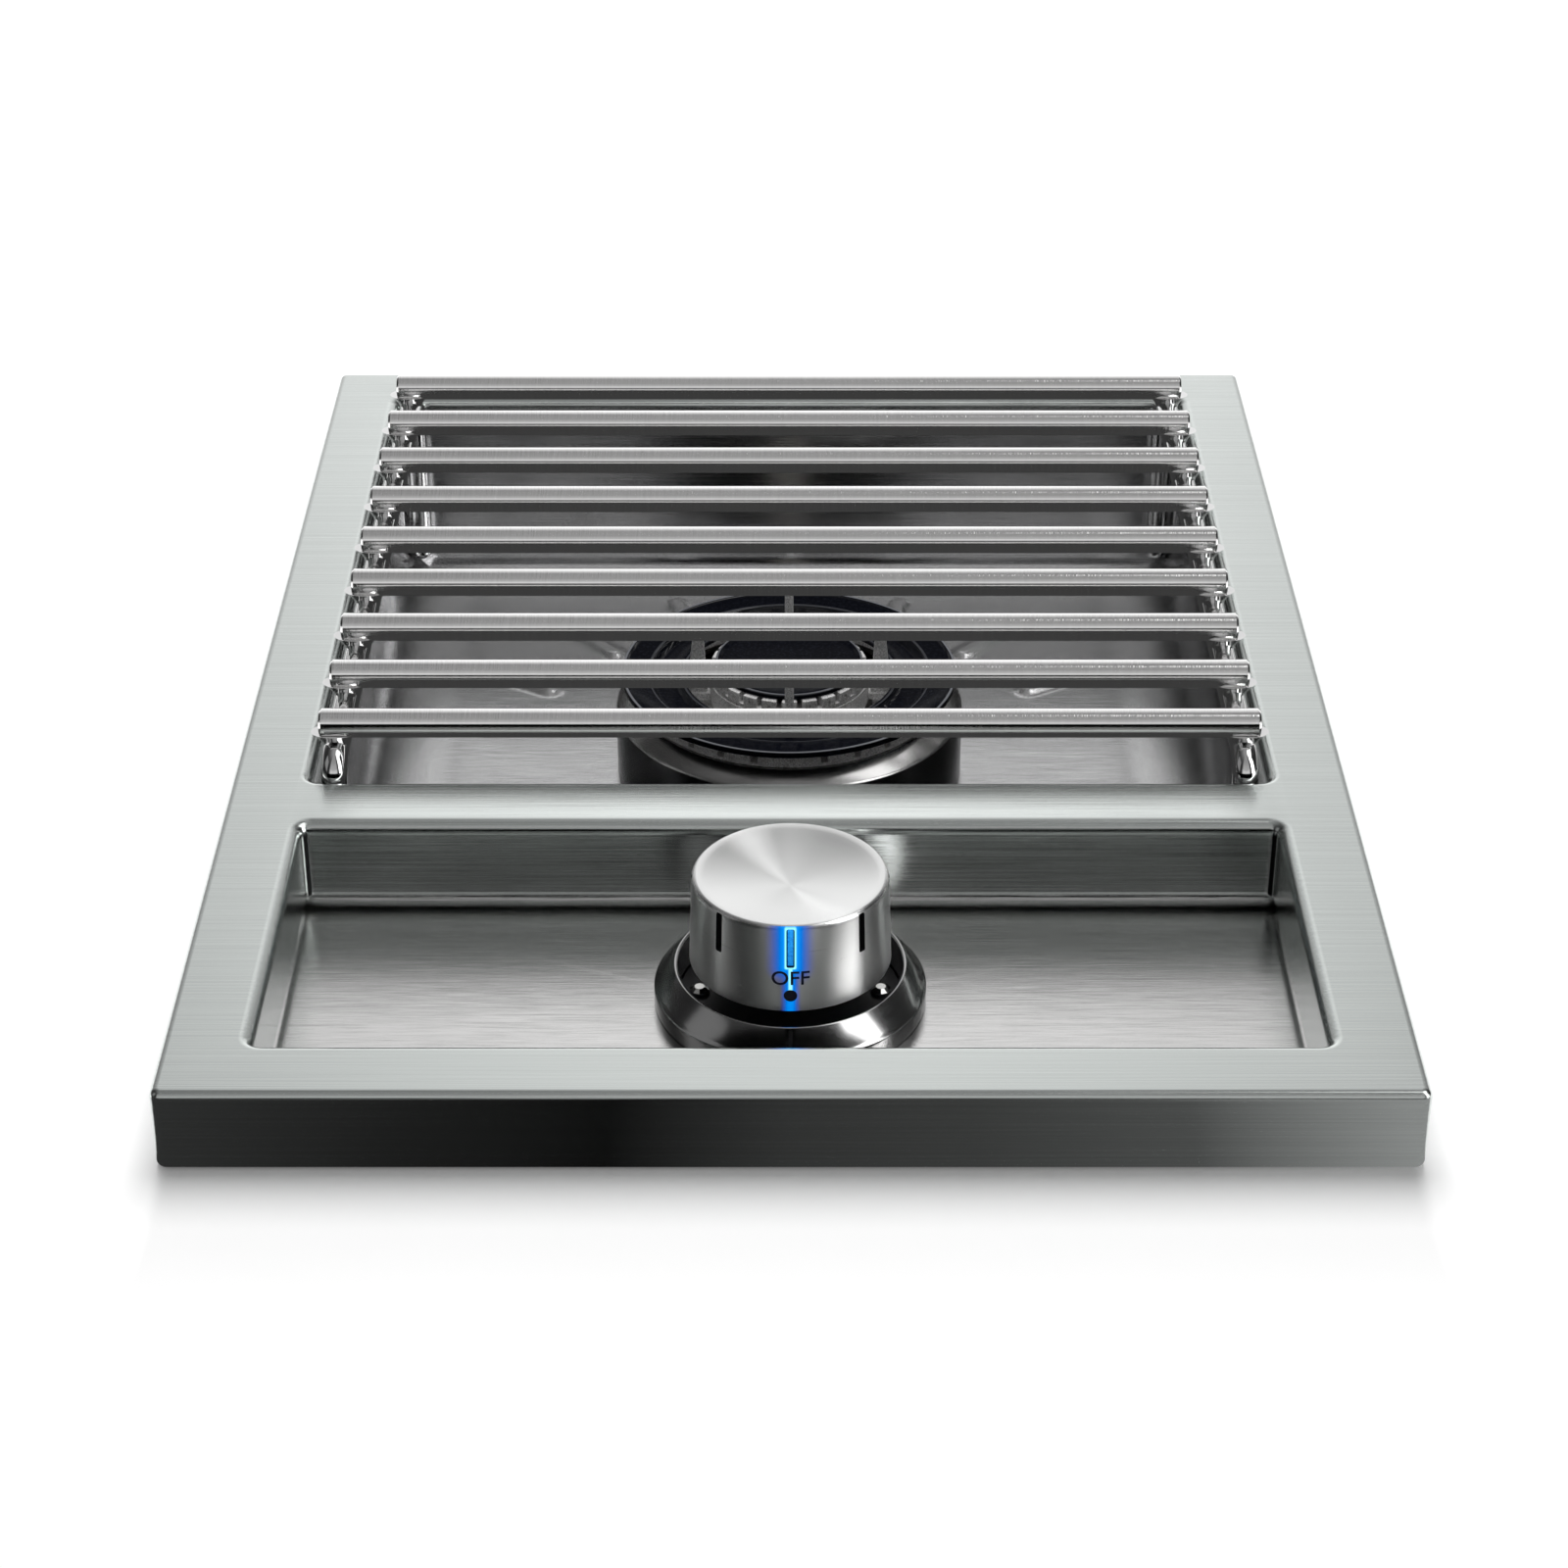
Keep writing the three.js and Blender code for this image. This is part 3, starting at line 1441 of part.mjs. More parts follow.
// The weld between a rail and a rod: wide under the rod, narrow at the rail
function weldFlare(x, y) {
  return new THREE.LatheGeometry([
    new THREE.Vector2(0, 0),
    new THREE.Vector2(flareNeck, 0),
    new THREE.Vector2(THREE.MathUtils.lerp(flareNeck, flareTop, 1 / 3), rodZ - railZ - rodRadius),
    new THREE.Vector2(flareTop, rodZ - railZ - rodRadius + flareDrop),
    new THREE.Vector2(0, rodZ - railZ - rodRadius + flareDrop),
  ], flareSides)
    .rotateX(Math.PI / 2)
    .scale(1, flareDepth / flareTop, 1)
    .translate(x, y, railZ);
}

function grateRail(side) {
  const x = side * railX;
  const frontLeg = rodPlaces[0] - legReach;
  const backLeg = rodPlaces[rodCount - 1] + legReach;
  const bar = bentBar([
    [x, frontLeg, footZ],
    [x, frontLeg, railZ],
    [x, backLeg, railZ],
    [x, backLeg, footZ],
  ], railRadius, railBend);
  const feet = [frontLeg, backLeg].map((y) => (
    new THREE.SphereGeometry(railRadius, smallSides, smallSides / 2)
      .rotateX(Math.PI / 2)
      .translate(x, y, footZ)
  ));
  const flares = rodPlaces.map((y) => weldFlare(x, y));
  const rodRoom = rodPlaces.map((y) => (
    new THREE.CylinderGeometry(rodRadius + fitGap, rodRadius + fitGap, halfRod / 2, smallSides)
      .rotateZ(Math.PI / 2)
      .translate(x, y, rodZ)
  ));
  return cut(join(bar, ...feet, ...flares), ...rodRoom);
}

add('grate_rail_left', grateRail(-1), 'polished');
add('grate_rail_right', grateRail(1), 'polished');

export default part;
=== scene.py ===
# %% [markdown]
# # A drop-in side burner
# The part is a steel frame that drops into a cut-out in a counter. A shallow tray at the front holds
# one lit knob, and a deep pan behind it holds a double ring burner under a grate of round rods.
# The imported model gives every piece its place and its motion. This lesson gives the pieces their
# surfaces: fine meshes where the photograph shows them, and a finish for everything else.

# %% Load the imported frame
import math

import bmesh
import bpy
from mathutils import Matrix, Vector


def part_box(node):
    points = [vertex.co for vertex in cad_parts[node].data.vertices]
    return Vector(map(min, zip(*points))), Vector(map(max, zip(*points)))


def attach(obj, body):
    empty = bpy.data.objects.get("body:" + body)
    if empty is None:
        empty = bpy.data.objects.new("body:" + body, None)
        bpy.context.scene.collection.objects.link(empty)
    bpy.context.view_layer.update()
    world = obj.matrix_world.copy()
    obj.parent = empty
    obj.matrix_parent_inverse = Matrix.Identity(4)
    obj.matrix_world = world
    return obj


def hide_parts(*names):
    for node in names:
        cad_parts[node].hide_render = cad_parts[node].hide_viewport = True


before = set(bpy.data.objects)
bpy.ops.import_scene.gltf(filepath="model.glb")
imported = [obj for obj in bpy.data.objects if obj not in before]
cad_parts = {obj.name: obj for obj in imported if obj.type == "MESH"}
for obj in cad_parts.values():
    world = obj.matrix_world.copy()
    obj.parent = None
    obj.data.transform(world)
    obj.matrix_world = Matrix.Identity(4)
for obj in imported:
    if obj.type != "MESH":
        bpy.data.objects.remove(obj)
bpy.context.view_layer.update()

MM = 0.001

# %% [markdown]
# ## The camera
# The photograph looks down on the burner from in front, with a long lens. The pitch, the distance and
# the lens were worked out from the frame's corners, so the model and the photograph share their lines.

# %% Place the camera
CAMERA_PLACE = Vector((-1.8, -964, 696)) * MM
CAMERA_PITCH = math.radians(31)


def linked(name, data):
    """A new object in the scene, at the origin."""
    made = bpy.data.objects.new(name, data)
    bpy.context.scene.collection.objects.link(made)
    return made


lens = bpy.data.cameras.new("photo_camera")
lens.lens = 78.7
lens.sensor_width = 36
camera = linked("photo_camera", lens)
camera.location = CAMERA_PLACE
camera.rotation_euler = (math.pi / 2 - CAMERA_PITCH, 0, 0)
bpy.context.scene.camera = camera
bpy.context.scene.view_settings.view_transform = "Standard"
print("camera at", tuple(round(value, 3) for value in CAMERA_PLACE))

# %% [markdown]
# ## Shader sums as Python
# A finish is easier to read as a formula than as a web of nodes. `Wire` wraps one socket, and its
# operators add Math nodes. `Finish` makes a material, and its `node` method adds any other node from
# its type, its settings and what goes into its sockets. A finish bears the name of the material slot
# that it fills, so a piece can ask for it by that name.

# %% Wires
def operator(operation, reflected=False):
    """A Python operator that adds one Math node."""
    def apply(self, *other):
        return self.finish.maths(operation, *((*other, self) if reflected else (self, *other)))
    return apply


class Wire:
    """One socket that can stand in a sum."""

    def __init__(self, finish, socket):
        self.finish = finish
        self.socket = socket

    __add__, __radd__ = operator("ADD"), operator("ADD", True)
    __sub__, __rsub__ = operator("SUBTRACT"), operator("SUBTRACT", True)
    __mul__, __rmul__ = operator("MULTIPLY"), operator("MULTIPLY", True)
    __truediv__, __pow__ = operator("DIVIDE"), operator("POWER")
    __gt__, __lt__ = operator("GREATER_THAN"), operator("LESS_THAN")
    __abs__ = operator("ABSOLUTE")
    at_least, at_most = operator("MAXIMUM"), operator("MINIMUM")

    def __neg__(self):
        return self * -1.0

    def between(self, low, high):
        """A smooth step from 0 to 1 as this goes from low to high."""
        settings = {"interpolation_type": "SMOOTHSTEP"}
        return self.finish.node("MapRange", settings, {"Value": self, 1: low, 2: high})

    def inside(self, low, high, soft):
        """One between low and high, and a soft edge to 0 outside."""
        return self.between(low - soft, low) * (1.0 - self.between(high, high + soft))


print("wires ready")

# %% Finishes
FINISHES = {}


class NodeTree:
    """The nodes of a material or a world, with short ways to add them."""

    def __init__(self, owner):
        owner.use_nodes = True
        self.tree = owner.node_tree

    def node(self, kind, settings=None, inputs=None, output=0):
        made = self.tree.nodes.new("ShaderNode" + kind)
        for name, value in (settings or {}).items():
            if name == "stops":
                elements = made.color_ramp.elements
                for place, level in value[2:]:
                    elements.new(place)
                for element, (place, level) in zip(elements, value):
                    element.position = place
                    element.color = (level, level, level, 1.0)
            else:
                setattr(made, name, value)
        for name, value in (inputs or {}).items():
            self.feed(made.inputs[name], value)
        return Wire(self, made.outputs[output])

    def maths(self, operation, *values):
        return self.node("Math", {"operation": operation}, dict(enumerate(values)))

    def feed(self, socket, value):
        if isinstance(value, Wire):
            self.tree.links.new(value.socket, socket)
        else:
            socket.default_value = value

    def place(self):
        return self.node("TexCoord", output="Object")

    def axes(self, vector):
        split = self.node("SeparateXYZ", inputs={0: vector}).socket.node
        return [Wire(self, output) for output in split.outputs]

    def facing(self):
        """The surface's direction, as three sums."""
        return self.axes(self.node("TexCoord", output="Normal"))

    def vector(self, x, y, z):
        return self.node("CombineXYZ", inputs={0: x, 1: y, 2: z})

    def noise(self, vector, scale, detail=2.0, roughness=0.5):
        inputs = {"Vector": vector, "Scale": scale, "Detail": detail, "Roughness": roughness}
        return self.node("TexNoise", inputs=inputs)

    def blend(self, share, first, second):
        inputs = {0: share, 6: first, 7: second}
        return self.node("Mix", {"data_type": "RGBA"}, inputs, output=2)

    def scaled(self, tint, factor):
        return self.node("VectorMath", {"operation": "SCALE"}, {0: tint, "Scale": factor})

    def ramp(self, value, levels, start, end):
        """A grey level that follows a list of (value, level) from the start to the end."""
        stops = [((place - start) / (end - start), level) for place, level in levels]
        return self.node("ValToRGB", {"stops": stops}, {0: (value - start) / (end - start)})


class Finish(NodeTree):
    """A material with its shader, which pieces ask for by its name."""

    def __init__(self, name, **constants):
        self.material = FINISHES[name] = bpy.data.materials.new(name)
        super().__init__(self.material)
        self.shader = self.tree.nodes["Principled BSDF"]
        self.set(**constants)

    def set(self, **values):
        for name, value in values.items():
            self.feed(self.shader.inputs[name.replace("_", " ").title().replace("Ior", "IOR")], value)
        return self

    def bump(self, height, distance):
        return self.set(Normal=self.node("Bump", inputs={"Height": height, "Distance": distance}))


def colour(red, green, blue):
    return (red, green, blue, 1.0)


print("finish helpers ready")

# %% [markdown]
# ## Brushed steel
# A belt with fine grit runs along the sheet before it is bent. It leaves long scratches that widen
# a reflection across the grain and keep it sharp along the grain. A noise that is stretched along the
# grain gives both the colour streaks and the bump. On a flange at the side the same scratches run down
# the flange, so the height counts as a slow direction there.

# %% Brushed sheets
SCRATCH_LONG = 10
SCRATCH_FINE = 2400
LINER_GRAIN = (25, 5000)
STREAKS = 0.08


def grain(finish, slow, fast):
    """Scratches along X that turn down the sides."""
    x, y, z = finish.axes(finish.place())
    at_side = abs(finish.facing()[0]) > 0.7
    z_speed = fast - at_side * (fast - slow)
    return finish.noise(finish.vector(x * slow, y * fast, z * z_speed), 1.0, 2.0, 0.55)


def brushed(name, tint, roughness, depth, slow=SCRATCH_LONG, fast=SCRATCH_FINE):
    finish = Finish(name, Metallic=1.0)
    scratches = grain(finish, slow, fast)
    cloud = finish.noise(finish.place(), 22.0, 2.0)
    streak = scratches.between(0.3, 0.7)
    shade = streak * STREAKS + (1.0 - STREAKS / 2) + (cloud - 0.5) * 0.05
    finish.set(Base_Color=finish.scaled(tint, shade))
    finish.set(Roughness=roughness + (streak - 0.5) * 0.06 + (cloud - 0.5) * 0.05)
    return finish.bump(scratches, depth)


def retone(finish, share, factor):
    """Scale a finish's colour by a factor where the share is 1."""
    tone = Wire(finish, finish.shader.inputs["Base Color"].links[0].from_socket)
    finish.set(Base_Color=finish.scaled(tone, share * (factor - 1.0) + 1.0))


def bar_steel(name, tint, roughness, depth):
    """Drawn bar that was ground round its girth, so the scratches run round it."""
    finish = Finish(name, Metallic=1.0)
    x, y, z = finish.axes(finish.place())
    rings = finish.noise(finish.vector(x * 2400.0, y * 90.0, z * 90.0), 1.0, 2.0, 0.6)
    finish.set(Base_Color=finish.scaled(tint, rings * 0.16 + 0.92))
    finish.set(Roughness=roughness + (rings - 0.5) * 0.06)
    return finish.bump(rings, depth)


frame_steel = brushed("brushed_frame", (0.655, 0.687, 0.672), 0.19, 0.00004)
pan_steel = brushed("brushed_pan", (0.76, 0.76, 0.765), 0.16, 0.00003, *LINER_GRAIN)
brushed("brushed_tray", (0.78, 0.775, 0.77), 0.18, 0.00004, *LINER_GRAIN)
bar_steel("rod_steel", (0.95, 0.945, 0.94), 0.11, 0.00005)
print("brushed finishes made")

# %% [markdown]
# ## Polished, cast and plain finishes
# Bar stock that was polished keeps a few faint scratches. The burner ring is cast and sand-blasted, so
# its grit shows in the bump and in the colour. The casing is zinc-coated sheet, whose crystals show as
# flat patches of grey. Plastic and ceramic come out of a mould with a fine even texture.

# %% Polished metal
def polished(name, tint, roughness, wear=0.05, dark_below=None):
    """Polished metal, nearly black below a height where one is given."""
    finish = Finish(name, Metallic=1.0)
    haze = finish.noise(finish.place(), 60.0, 3.0)
    scratches = finish.noise(finish.place(), 260.0, 2.0, 0.7)
    if dark_below is not None:
        shine = finish.axes(finish.place())[2].between(dark_below - 0.5 * MM, dark_below)
        tint = finish.blend(shine, colour(0.05, 0.05, 0.052), colour(*tint))
    finish.set(Base_Color=finish.scaled(tint, haze * 0.08 + 0.96))
    finish.set(Roughness=roughness + haze.between(0.4, 0.8) * wear)
    return finish.bump(scratches, 0.000006)


polished("rail_steel", (0.80, 0.80, 0.80), 0.07)
polished("plated_steel", (0.72, 0.72, 0.70), 0.22, 0.12)
polished("gas_tubing", (0.70, 0.71, 0.72), 0.24, 0.10)
polished("valve_brass", (0.72, 0.50, 0.22), 0.26, 0.14)
polished("bezel_chrome", (0.54, 0.54, 0.54), 0.15, 0.03)
print("polished finishes made")

# %% Cast ring, zinc, plastic and ceramic
def shade_of(tint, factor, lift=0.0):
    return colour(*(value * factor + lift for value in tint))


def cast(name, tint):
    finish = Finish(name, Metallic=0.1)
    grit = finish.noise(finish.place(), 2200.0, 2.0, 0.8)
    patch = finish.noise(finish.place(), 120.0, 3.0)
    tone = finish.blend(patch.between(0.3, 0.7), shade_of(tint, 0.8), colour(*tint))
    tone = finish.scaled(tone, grit.between(0.35, 0.7) * 0.7 + 0.65)
    finish.set(Base_Color=tone, Roughness=0.50 + grit * 0.2)
    return finish.bump(grit + patch * 0.5, 0.00018)


def galvanised(name):
    finish = Finish(name, Metallic=0.9)
    crystals = finish.node("TexVoronoi", inputs={"Vector": finish.place(), "Scale": 110.0}, output="Color")
    patch = finish.axes(crystals)[0]
    dust = finish.noise(finish.place(), 9.0, 4.0)
    tone = finish.blend(patch, colour(0.40, 0.42, 0.43), colour(0.58, 0.60, 0.62))
    finish.set(Base_Color=tone, Roughness=0.34 + patch * 0.16 + dust * 0.10)
    return finish.bump(patch + dust, 0.00004)


def moulded(name, tint, roughness, coat=0.0):
    finish = Finish(name, Coat_Weight=coat)
    texture = finish.noise(finish.place(), 1800.0, 2.0)
    wear = finish.noise(finish.place(), 70.0, 3.0)
    tone = finish.blend(wear.between(0.4, 0.8), colour(*tint), shade_of(tint, 1.25, 0.004))
    finish.set(Base_Color=tone, Roughness=roughness + (texture - 0.5) * 0.1)
    return finish.bump(texture, 0.00003)


cast("cast_burner", (0.93, 0.925, 0.92))
galvanised("galvanised_sheet")
moulded("black_plastic", (0.012, 0.012, 0.013), 0.42)
moulded("lead_sleeve", (0.42, 0.06, 0.035), 0.50)
moulded("ceramic", (0.80, 0.77, 0.70), 0.24, coat=0.6)
print("cast, zinc, plastic and ceramic finishes made")

# %% [markdown]
# ## Sheet-metal helpers
# Every pressed sheet here is a run of rounded rectangles, each a little lower or wider than the last,
# as the press bends it. The first loop is one grid face whose corners are bevelled. Each further loop is
# extruded from the last one and moved to its new size, so that every corner stays a true arc. The sheet
# gets its thickness from a Solidify modifier, and weighted normals keep its flats flat.

# %% Helpers for loops
CORNER_SEGMENTS = 7
UP = Vector((0, 0, 1))


def kept(made, kind):
    """The vertices or the edges among what an operator made."""
    return [item for item in made if isinstance(item, kind)]


def rect_face(bm, low, high):
    """A flat rectangle between two corners. Gives back its vertices."""
    verts = bmesh.ops.create_grid(bm, x_segments=1, y_segments=1, size=0.5)["verts"]
    bmesh.ops.scale(bm, vec=(high[0] - low[0], high[1] - low[1], 1), verts=verts)
    bmesh.ops.translate(bm, vec=((low[0] + high[0]) / 2, (low[1] + high[1]) / 2, 0), verts=verts)
    return verts


def loop_shape(half_x, half_y, radius, side_z, end_z=None):
    """A rounded rectangle, whose height may differ at its sides and its ends."""
    return half_x, half_y, radius, side_z, side_z if end_z is None else end_z


def move_loop(verts, centre_y, old, new):
    """Take corner arcs from one rounded rectangle to another."""
    for vert in verts:
        side = math.copysign(1, vert.co.x)
        end = math.copysign(1, vert.co.y - centre_y)
        across = (abs(vert.co.x) - old[0] + old[2]) / old[2]
        along = (abs(vert.co.y - centre_y) - old[1] + old[2]) / old[2]
        vert.co.x = side * (new[0] - new[2] + new[2] * across)
        vert.co.y = centre_y + end * (new[1] - new[2] + new[2] * along)
        vert.co.z = new[3] + (new[4] - new[3]) * along * along


def extruded(bm, edges):
    """Extrude a run of edges. Gives back the new vertices and the new far edges."""
    made = bmesh.ops.extrude_edge_only(bm, edges=edges)["geom"]
    verts = kept(made, bmesh.types.BMVert)
    fresh = set(verts)
    return verts, [edge for edge in kept(made, bmesh.types.BMEdge) if set(edge.verts) <= fresh]


def pressed(bm, shapes, centre_y):
    """Draw a rounded loop through its shapes, and give back its first and last edges."""
    first = shapes[0]
    verts = rect_face(bm, (-first[0], centre_y - first[1]), (first[0], centre_y + first[1]))
    rounded = bmesh.ops.bevel(bm, geom=verts, offset=first[2], affect="VERTICES",
                              segments=CORNER_SEGMENTS, profile=0.5, material=-1)
    face = rounded["verts"][0].link_faces[0]
    start = edges = list(face.edges)
    move_loop(face.verts, centre_y, first, first)
    bmesh.ops.delete(bm, geom=[face], context="FACES_ONLY")
    for old, new in zip(shapes, shapes[1:]):
        verts, edges = extruded(bm, edges)
        move_loop(verts, centre_y, old, new)
    return start, edges


def arc(across, up, radius, start, end, steps=6):
    """Points on an arc, with angles in degrees from the outward direction."""
    turns = [math.radians(start + (end - start) * step / steps) for step in range(steps + 1)]
    return [(across + radius * math.cos(turn), up + radius * math.sin(turn)) for turn in turns]


print("loop helpers ready")

# %% Helpers for finished pieces
def mesh_object(bm, name, finish=None):
    """An object from a bmesh, with the material of a finish."""
    mesh = bpy.data.meshes.new(name)
    bm.to_mesh(mesh)
    bm.free()
    if finish:
        mesh.materials.append(FINISHES[finish])
    return linked(name, mesh)


def smooth(mesh, sharp):
    """Shade round, with hard edges where the faces turn by more than an angle."""
    mesh.shade_smooth()
    mesh.set_sharp_from_angle(angle=math.radians(sharp))


def finished(bm, name, finish, body, node=None, sharp=30, upward=None):
    """A piece from a bmesh, on its body and in its slot, that replaces its node.

    The face nearest to the place called upward is made to look up."""
    bmesh.ops.remove_doubles(bm, verts=bm.verts, dist=1e-6)
    bmesh.ops.recalc_face_normals(bm, faces=bm.faces)
    if upward is not None:
        face = min(bm.faces, key=lambda each: (each.calc_center_median() - upward).length)
        if face.normal.z < 0:
            bmesh.ops.reverse_faces(bm, faces=bm.faces)
    piece = mesh_object(bm, name, finish)
    smooth(piece.data, sharp)
    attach(piece, body)
    if node:
        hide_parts(node)
    print(f"{name}: {len(piece.data.polygons)} faces")
    return piece


def thicken(piece, thickness):
    """Put the sheet's thickness behind its outer face."""
    wall = piece.modifiers.new("Sheet", "SOLIDIFY")
    wall.thickness = thickness
    wall.offset = -1
    wall.use_even_offset = False
    flats = piece.modifiers.new("Flats", "WEIGHTED_NORMAL")
    flats.keep_sharp = True
    return piece


print("piece helpers ready")

# %% [markdown]
# ## The top frame
# One sheet: a flat plate with a flange turned down all round, a lip turned in under the flange, and two
# openings whose edges roll down into skirts. It is modelled as the press makes it, from the outside
# edge of the plate down the flange, and from each opening down its skirt. The plate itself is filled
# between the three loops.

# %% Model the top frame
frame_low, frame_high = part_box("top_frame")
tray_low, tray_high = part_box("control_tray")
pan_low, pan_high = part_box("burner_pan")
SIDES = ("left", "right")
TOP_Z = frame_high.z
SHEET = 1.2 * MM
LINER = 1.0 * MM
OUTER_BEND = 2.5 * MM
OUTER_CORNER = 3 * MM
FLANGE_DROP = 25 * MM
LIP_WIDTH = 11 * MM
LIP_BEND = 2 * MM
ROLL = 4 * MM
OPENING_CORNER = 2.8 * MM
HALF_OPENING = frame_high.x - 24.5 * MM
FLANGE_REACH = pan_high.x - HALF_OPENING
TRAY_SKIRT = 26 * MM
PAN_SKIRT = 14 * MM
HEM = 2 * MM


def middle(low, high, axis):
    return (low[axis] + high[axis]) / 2


def opening(low, high):
    """The centre and half length of an opening, from the liner that hangs round it."""
    return middle(low, high, 1), (high.y - low.y) / 2 - FLANGE_REACH


tray_centre, tray_half = opening(tray_low, tray_high)
pan_centre, pan_half = opening(pan_low, pan_high)


def round_opening(bm, centre, half, profile):
    """Press a profile of outward distance and height round an opening."""
    shapes = [
        loop_shape(HALF_OPENING + out, half + out, max(OPENING_CORNER + out, MM), z)
        for out, z in profile
    ]
    return pressed(bm, shapes, centre)


def top_frame():
    bm = bmesh.new()
    fold_z = TOP_Z - OUTER_BEND
    lip_z = TOP_Z - FLANGE_DROP
    flange = [
        *arc(OUTER_BEND, fold_z, OUTER_BEND, 90, 180),
        *arc(LIP_BEND, lip_z + LIP_BEND, LIP_BEND, 180, 270),
        (LIP_WIDTH, lip_z),
    ]
    shapes = [
        loop_shape(frame_high.x - inset, frame_high.y - inset, max(OUTER_CORNER - inset, 0.4 * MM), z)
        for inset, z in flange
    ]
    edges = pressed(bm, shapes, 0)[0]
    roll = arc(ROLL, TOP_Z - ROLL, ROLL, 90, 180)
    hem_z = TOP_Z - TRAY_SKIRT
    hem = [*arc(HEM, hem_z + HEM, HEM, 180, 270), (1.5 * HEM, hem_z)]
    edges += round_opening(bm, tray_centre, tray_half, roll + hem)[0]
    edges += round_opening(bm, pan_centre, pan_half, [*roll, (0, TOP_Z - PAN_SKIRT)])[0]
    bmesh.ops.triangle_fill(bm, edges=edges, use_beauty=True, normal=UP)
    border = Vector((frame_high.x - 10 * MM, 0, TOP_Z))
    piece = finished(bm, "frame_sheet", "brushed_frame", "housing", "top_frame", 40, border)
    return thicken(piece, SHEET)


top_frame()

# %% [markdown]
# ## The control tray
# A shallow box in thinner sheet hangs under the frame. Its bottom is flat, with small bends at its
# foot. Real holes let the valve stem, the lamp's lead and two screws through, and the bezel covers them.
# Two tones are painted on the frame round it, by place: the dark upright seams at the tray's back
# corners, and a painted highlight on the bar between the openings, a brighter colour that makes up
# for the rods' reflection, which would make the bar too dark.

# %% Tones on the frame
CORNER_CUT = (1 - math.sqrt(0.5)) * OPENING_CORNER
SEAM_SHADE = 0.006
BAR_PAINTED_HIGHLIGHT = 1.36
BAR_HIGHLIGHT_FADE = 6 * MM
BAR_HIGHLIGHT_END_FADE = 20 * MM


def tone_seams_and_paint_bar_highlight():
    """Darken the upright seams at the tray's back corners, and paint a highlight on the bar between the
    openings.
    """
    x, y, z = frame_steel.axes(frame_steel.place())
    corner_x, corner_y = HALF_OPENING - CORNER_CUT, tray_centre + tray_half - CORNER_CUT
    away = ((abs(x) - corner_x) ** 2.0 + (y - corner_y) ** 2.0) ** 0.5
    below_roll = 1.0 - z.between(TOP_Z - ROLL, TOP_Z - 0.5 * ROLL)
    above_hem = z.between(TOP_Z - TRAY_SKIRT, TOP_Z - TRAY_SKIRT + MM)
    line = (1.0 - away.between(0.6 * MM, 1.1 * MM)) * above_hem * below_roll
    retone(frame_steel, line, SEAM_SHADE)
    # Painted highlight: the bar between the openings gets a brighter colour than the frame round it.
    bar = y.inside(tray_centre + tray_half + BAR_HIGHLIGHT_FADE, pan_centre - pan_half - BAR_HIGHLIGHT_FADE, BAR_HIGHLIGHT_FADE)
    bar = bar * (1.0 - abs(x).between(HALF_OPENING - BAR_HIGHLIGHT_END_FADE, HALF_OPENING)) * (z > TOP_Z - 0.5 * MM)
    retone(frame_steel, bar, BAR_PAINTED_HIGHLIGHT)


tone_seams_and_paint_bar_highlight()
print("seams and bar toned")

# %% Model the control tray
knob_low, knob_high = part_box("knob_shell")
KNOB_X = middle(knob_low, knob_high, 0)
KNOB_Y = middle(knob_low, knob_high, 1)
TRAY_FLOOR = tray_low.z + LINER
TRAY_REACH = 4 * MM
TRAY_BEND = 4 * MM
TRAY_CORNER = 2.5 * MM
LINER_TOP = tray_high.z


def hole_loop(bm, x, y, z, radius):
    made = bmesh.ops.create_circle(bm, cap_ends=False, radius=radius, segments=24,
                                   matrix=Matrix.Translation((x, y, z)))
    return list(dict.fromkeys(edge for vert in made["verts"] for edge in vert.link_edges))


def tray_holes(bm, z):
    """The holes for the stem, the lamp's lead and the two screws."""
    places = [(KNOB_X, KNOB_Y, 7 * MM), (KNOB_X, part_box("pointer_lamp")[0].y + 2 * MM, 1.6 * MM)]
    for side in SIDES:
        places.append((middle(*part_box(f"bezel_screw_{side}"), 0), KNOB_Y, 1.9 * MM))
    return [edge for x, y, radius in places for edge in hole_loop(bm, x, y, z, radius)]


def control_tray():
    bm = bmesh.new()
    profile = [
        (FLANGE_REACH, LINER_TOP),
        (TRAY_REACH + MM, LINER_TOP),
        (TRAY_REACH, LINER_TOP - MM),
        *arc(TRAY_REACH - TRAY_BEND, TRAY_FLOOR + TRAY_BEND, TRAY_BEND, 0, -90),
    ]
    shapes = [loop_shape(HALF_OPENING + out, tray_half + out, TRAY_CORNER, z) for out, z in profile]
    last = pressed(bm, shapes, tray_centre)[1]
    bmesh.ops.triangle_fill(bm, edges=last + tray_holes(bm, TRAY_FLOOR), use_beauty=True, normal=UP)
    floor = Vector((0.1, tray_centre, TRAY_FLOOR))
    piece = finished(bm, "tray_sheet", "brushed_tray", "housing", "control_tray", 40, floor)
    return thicken(piece, LINER)


control_tray()

# %% [markdown]
# ## The burner pan
# The pan is deep drawn: its sides sweep into the bottom in wide bends, its ends in tight ones. Short
# beads are pressed up round the burner to stiffen the bottom. The beads are raised on a fine grid by a
# height that falls off smoothly beside each bead, as a press leaves them. The walls get painted shade:
# a slightly darker colour than the floor, to match the photograph.

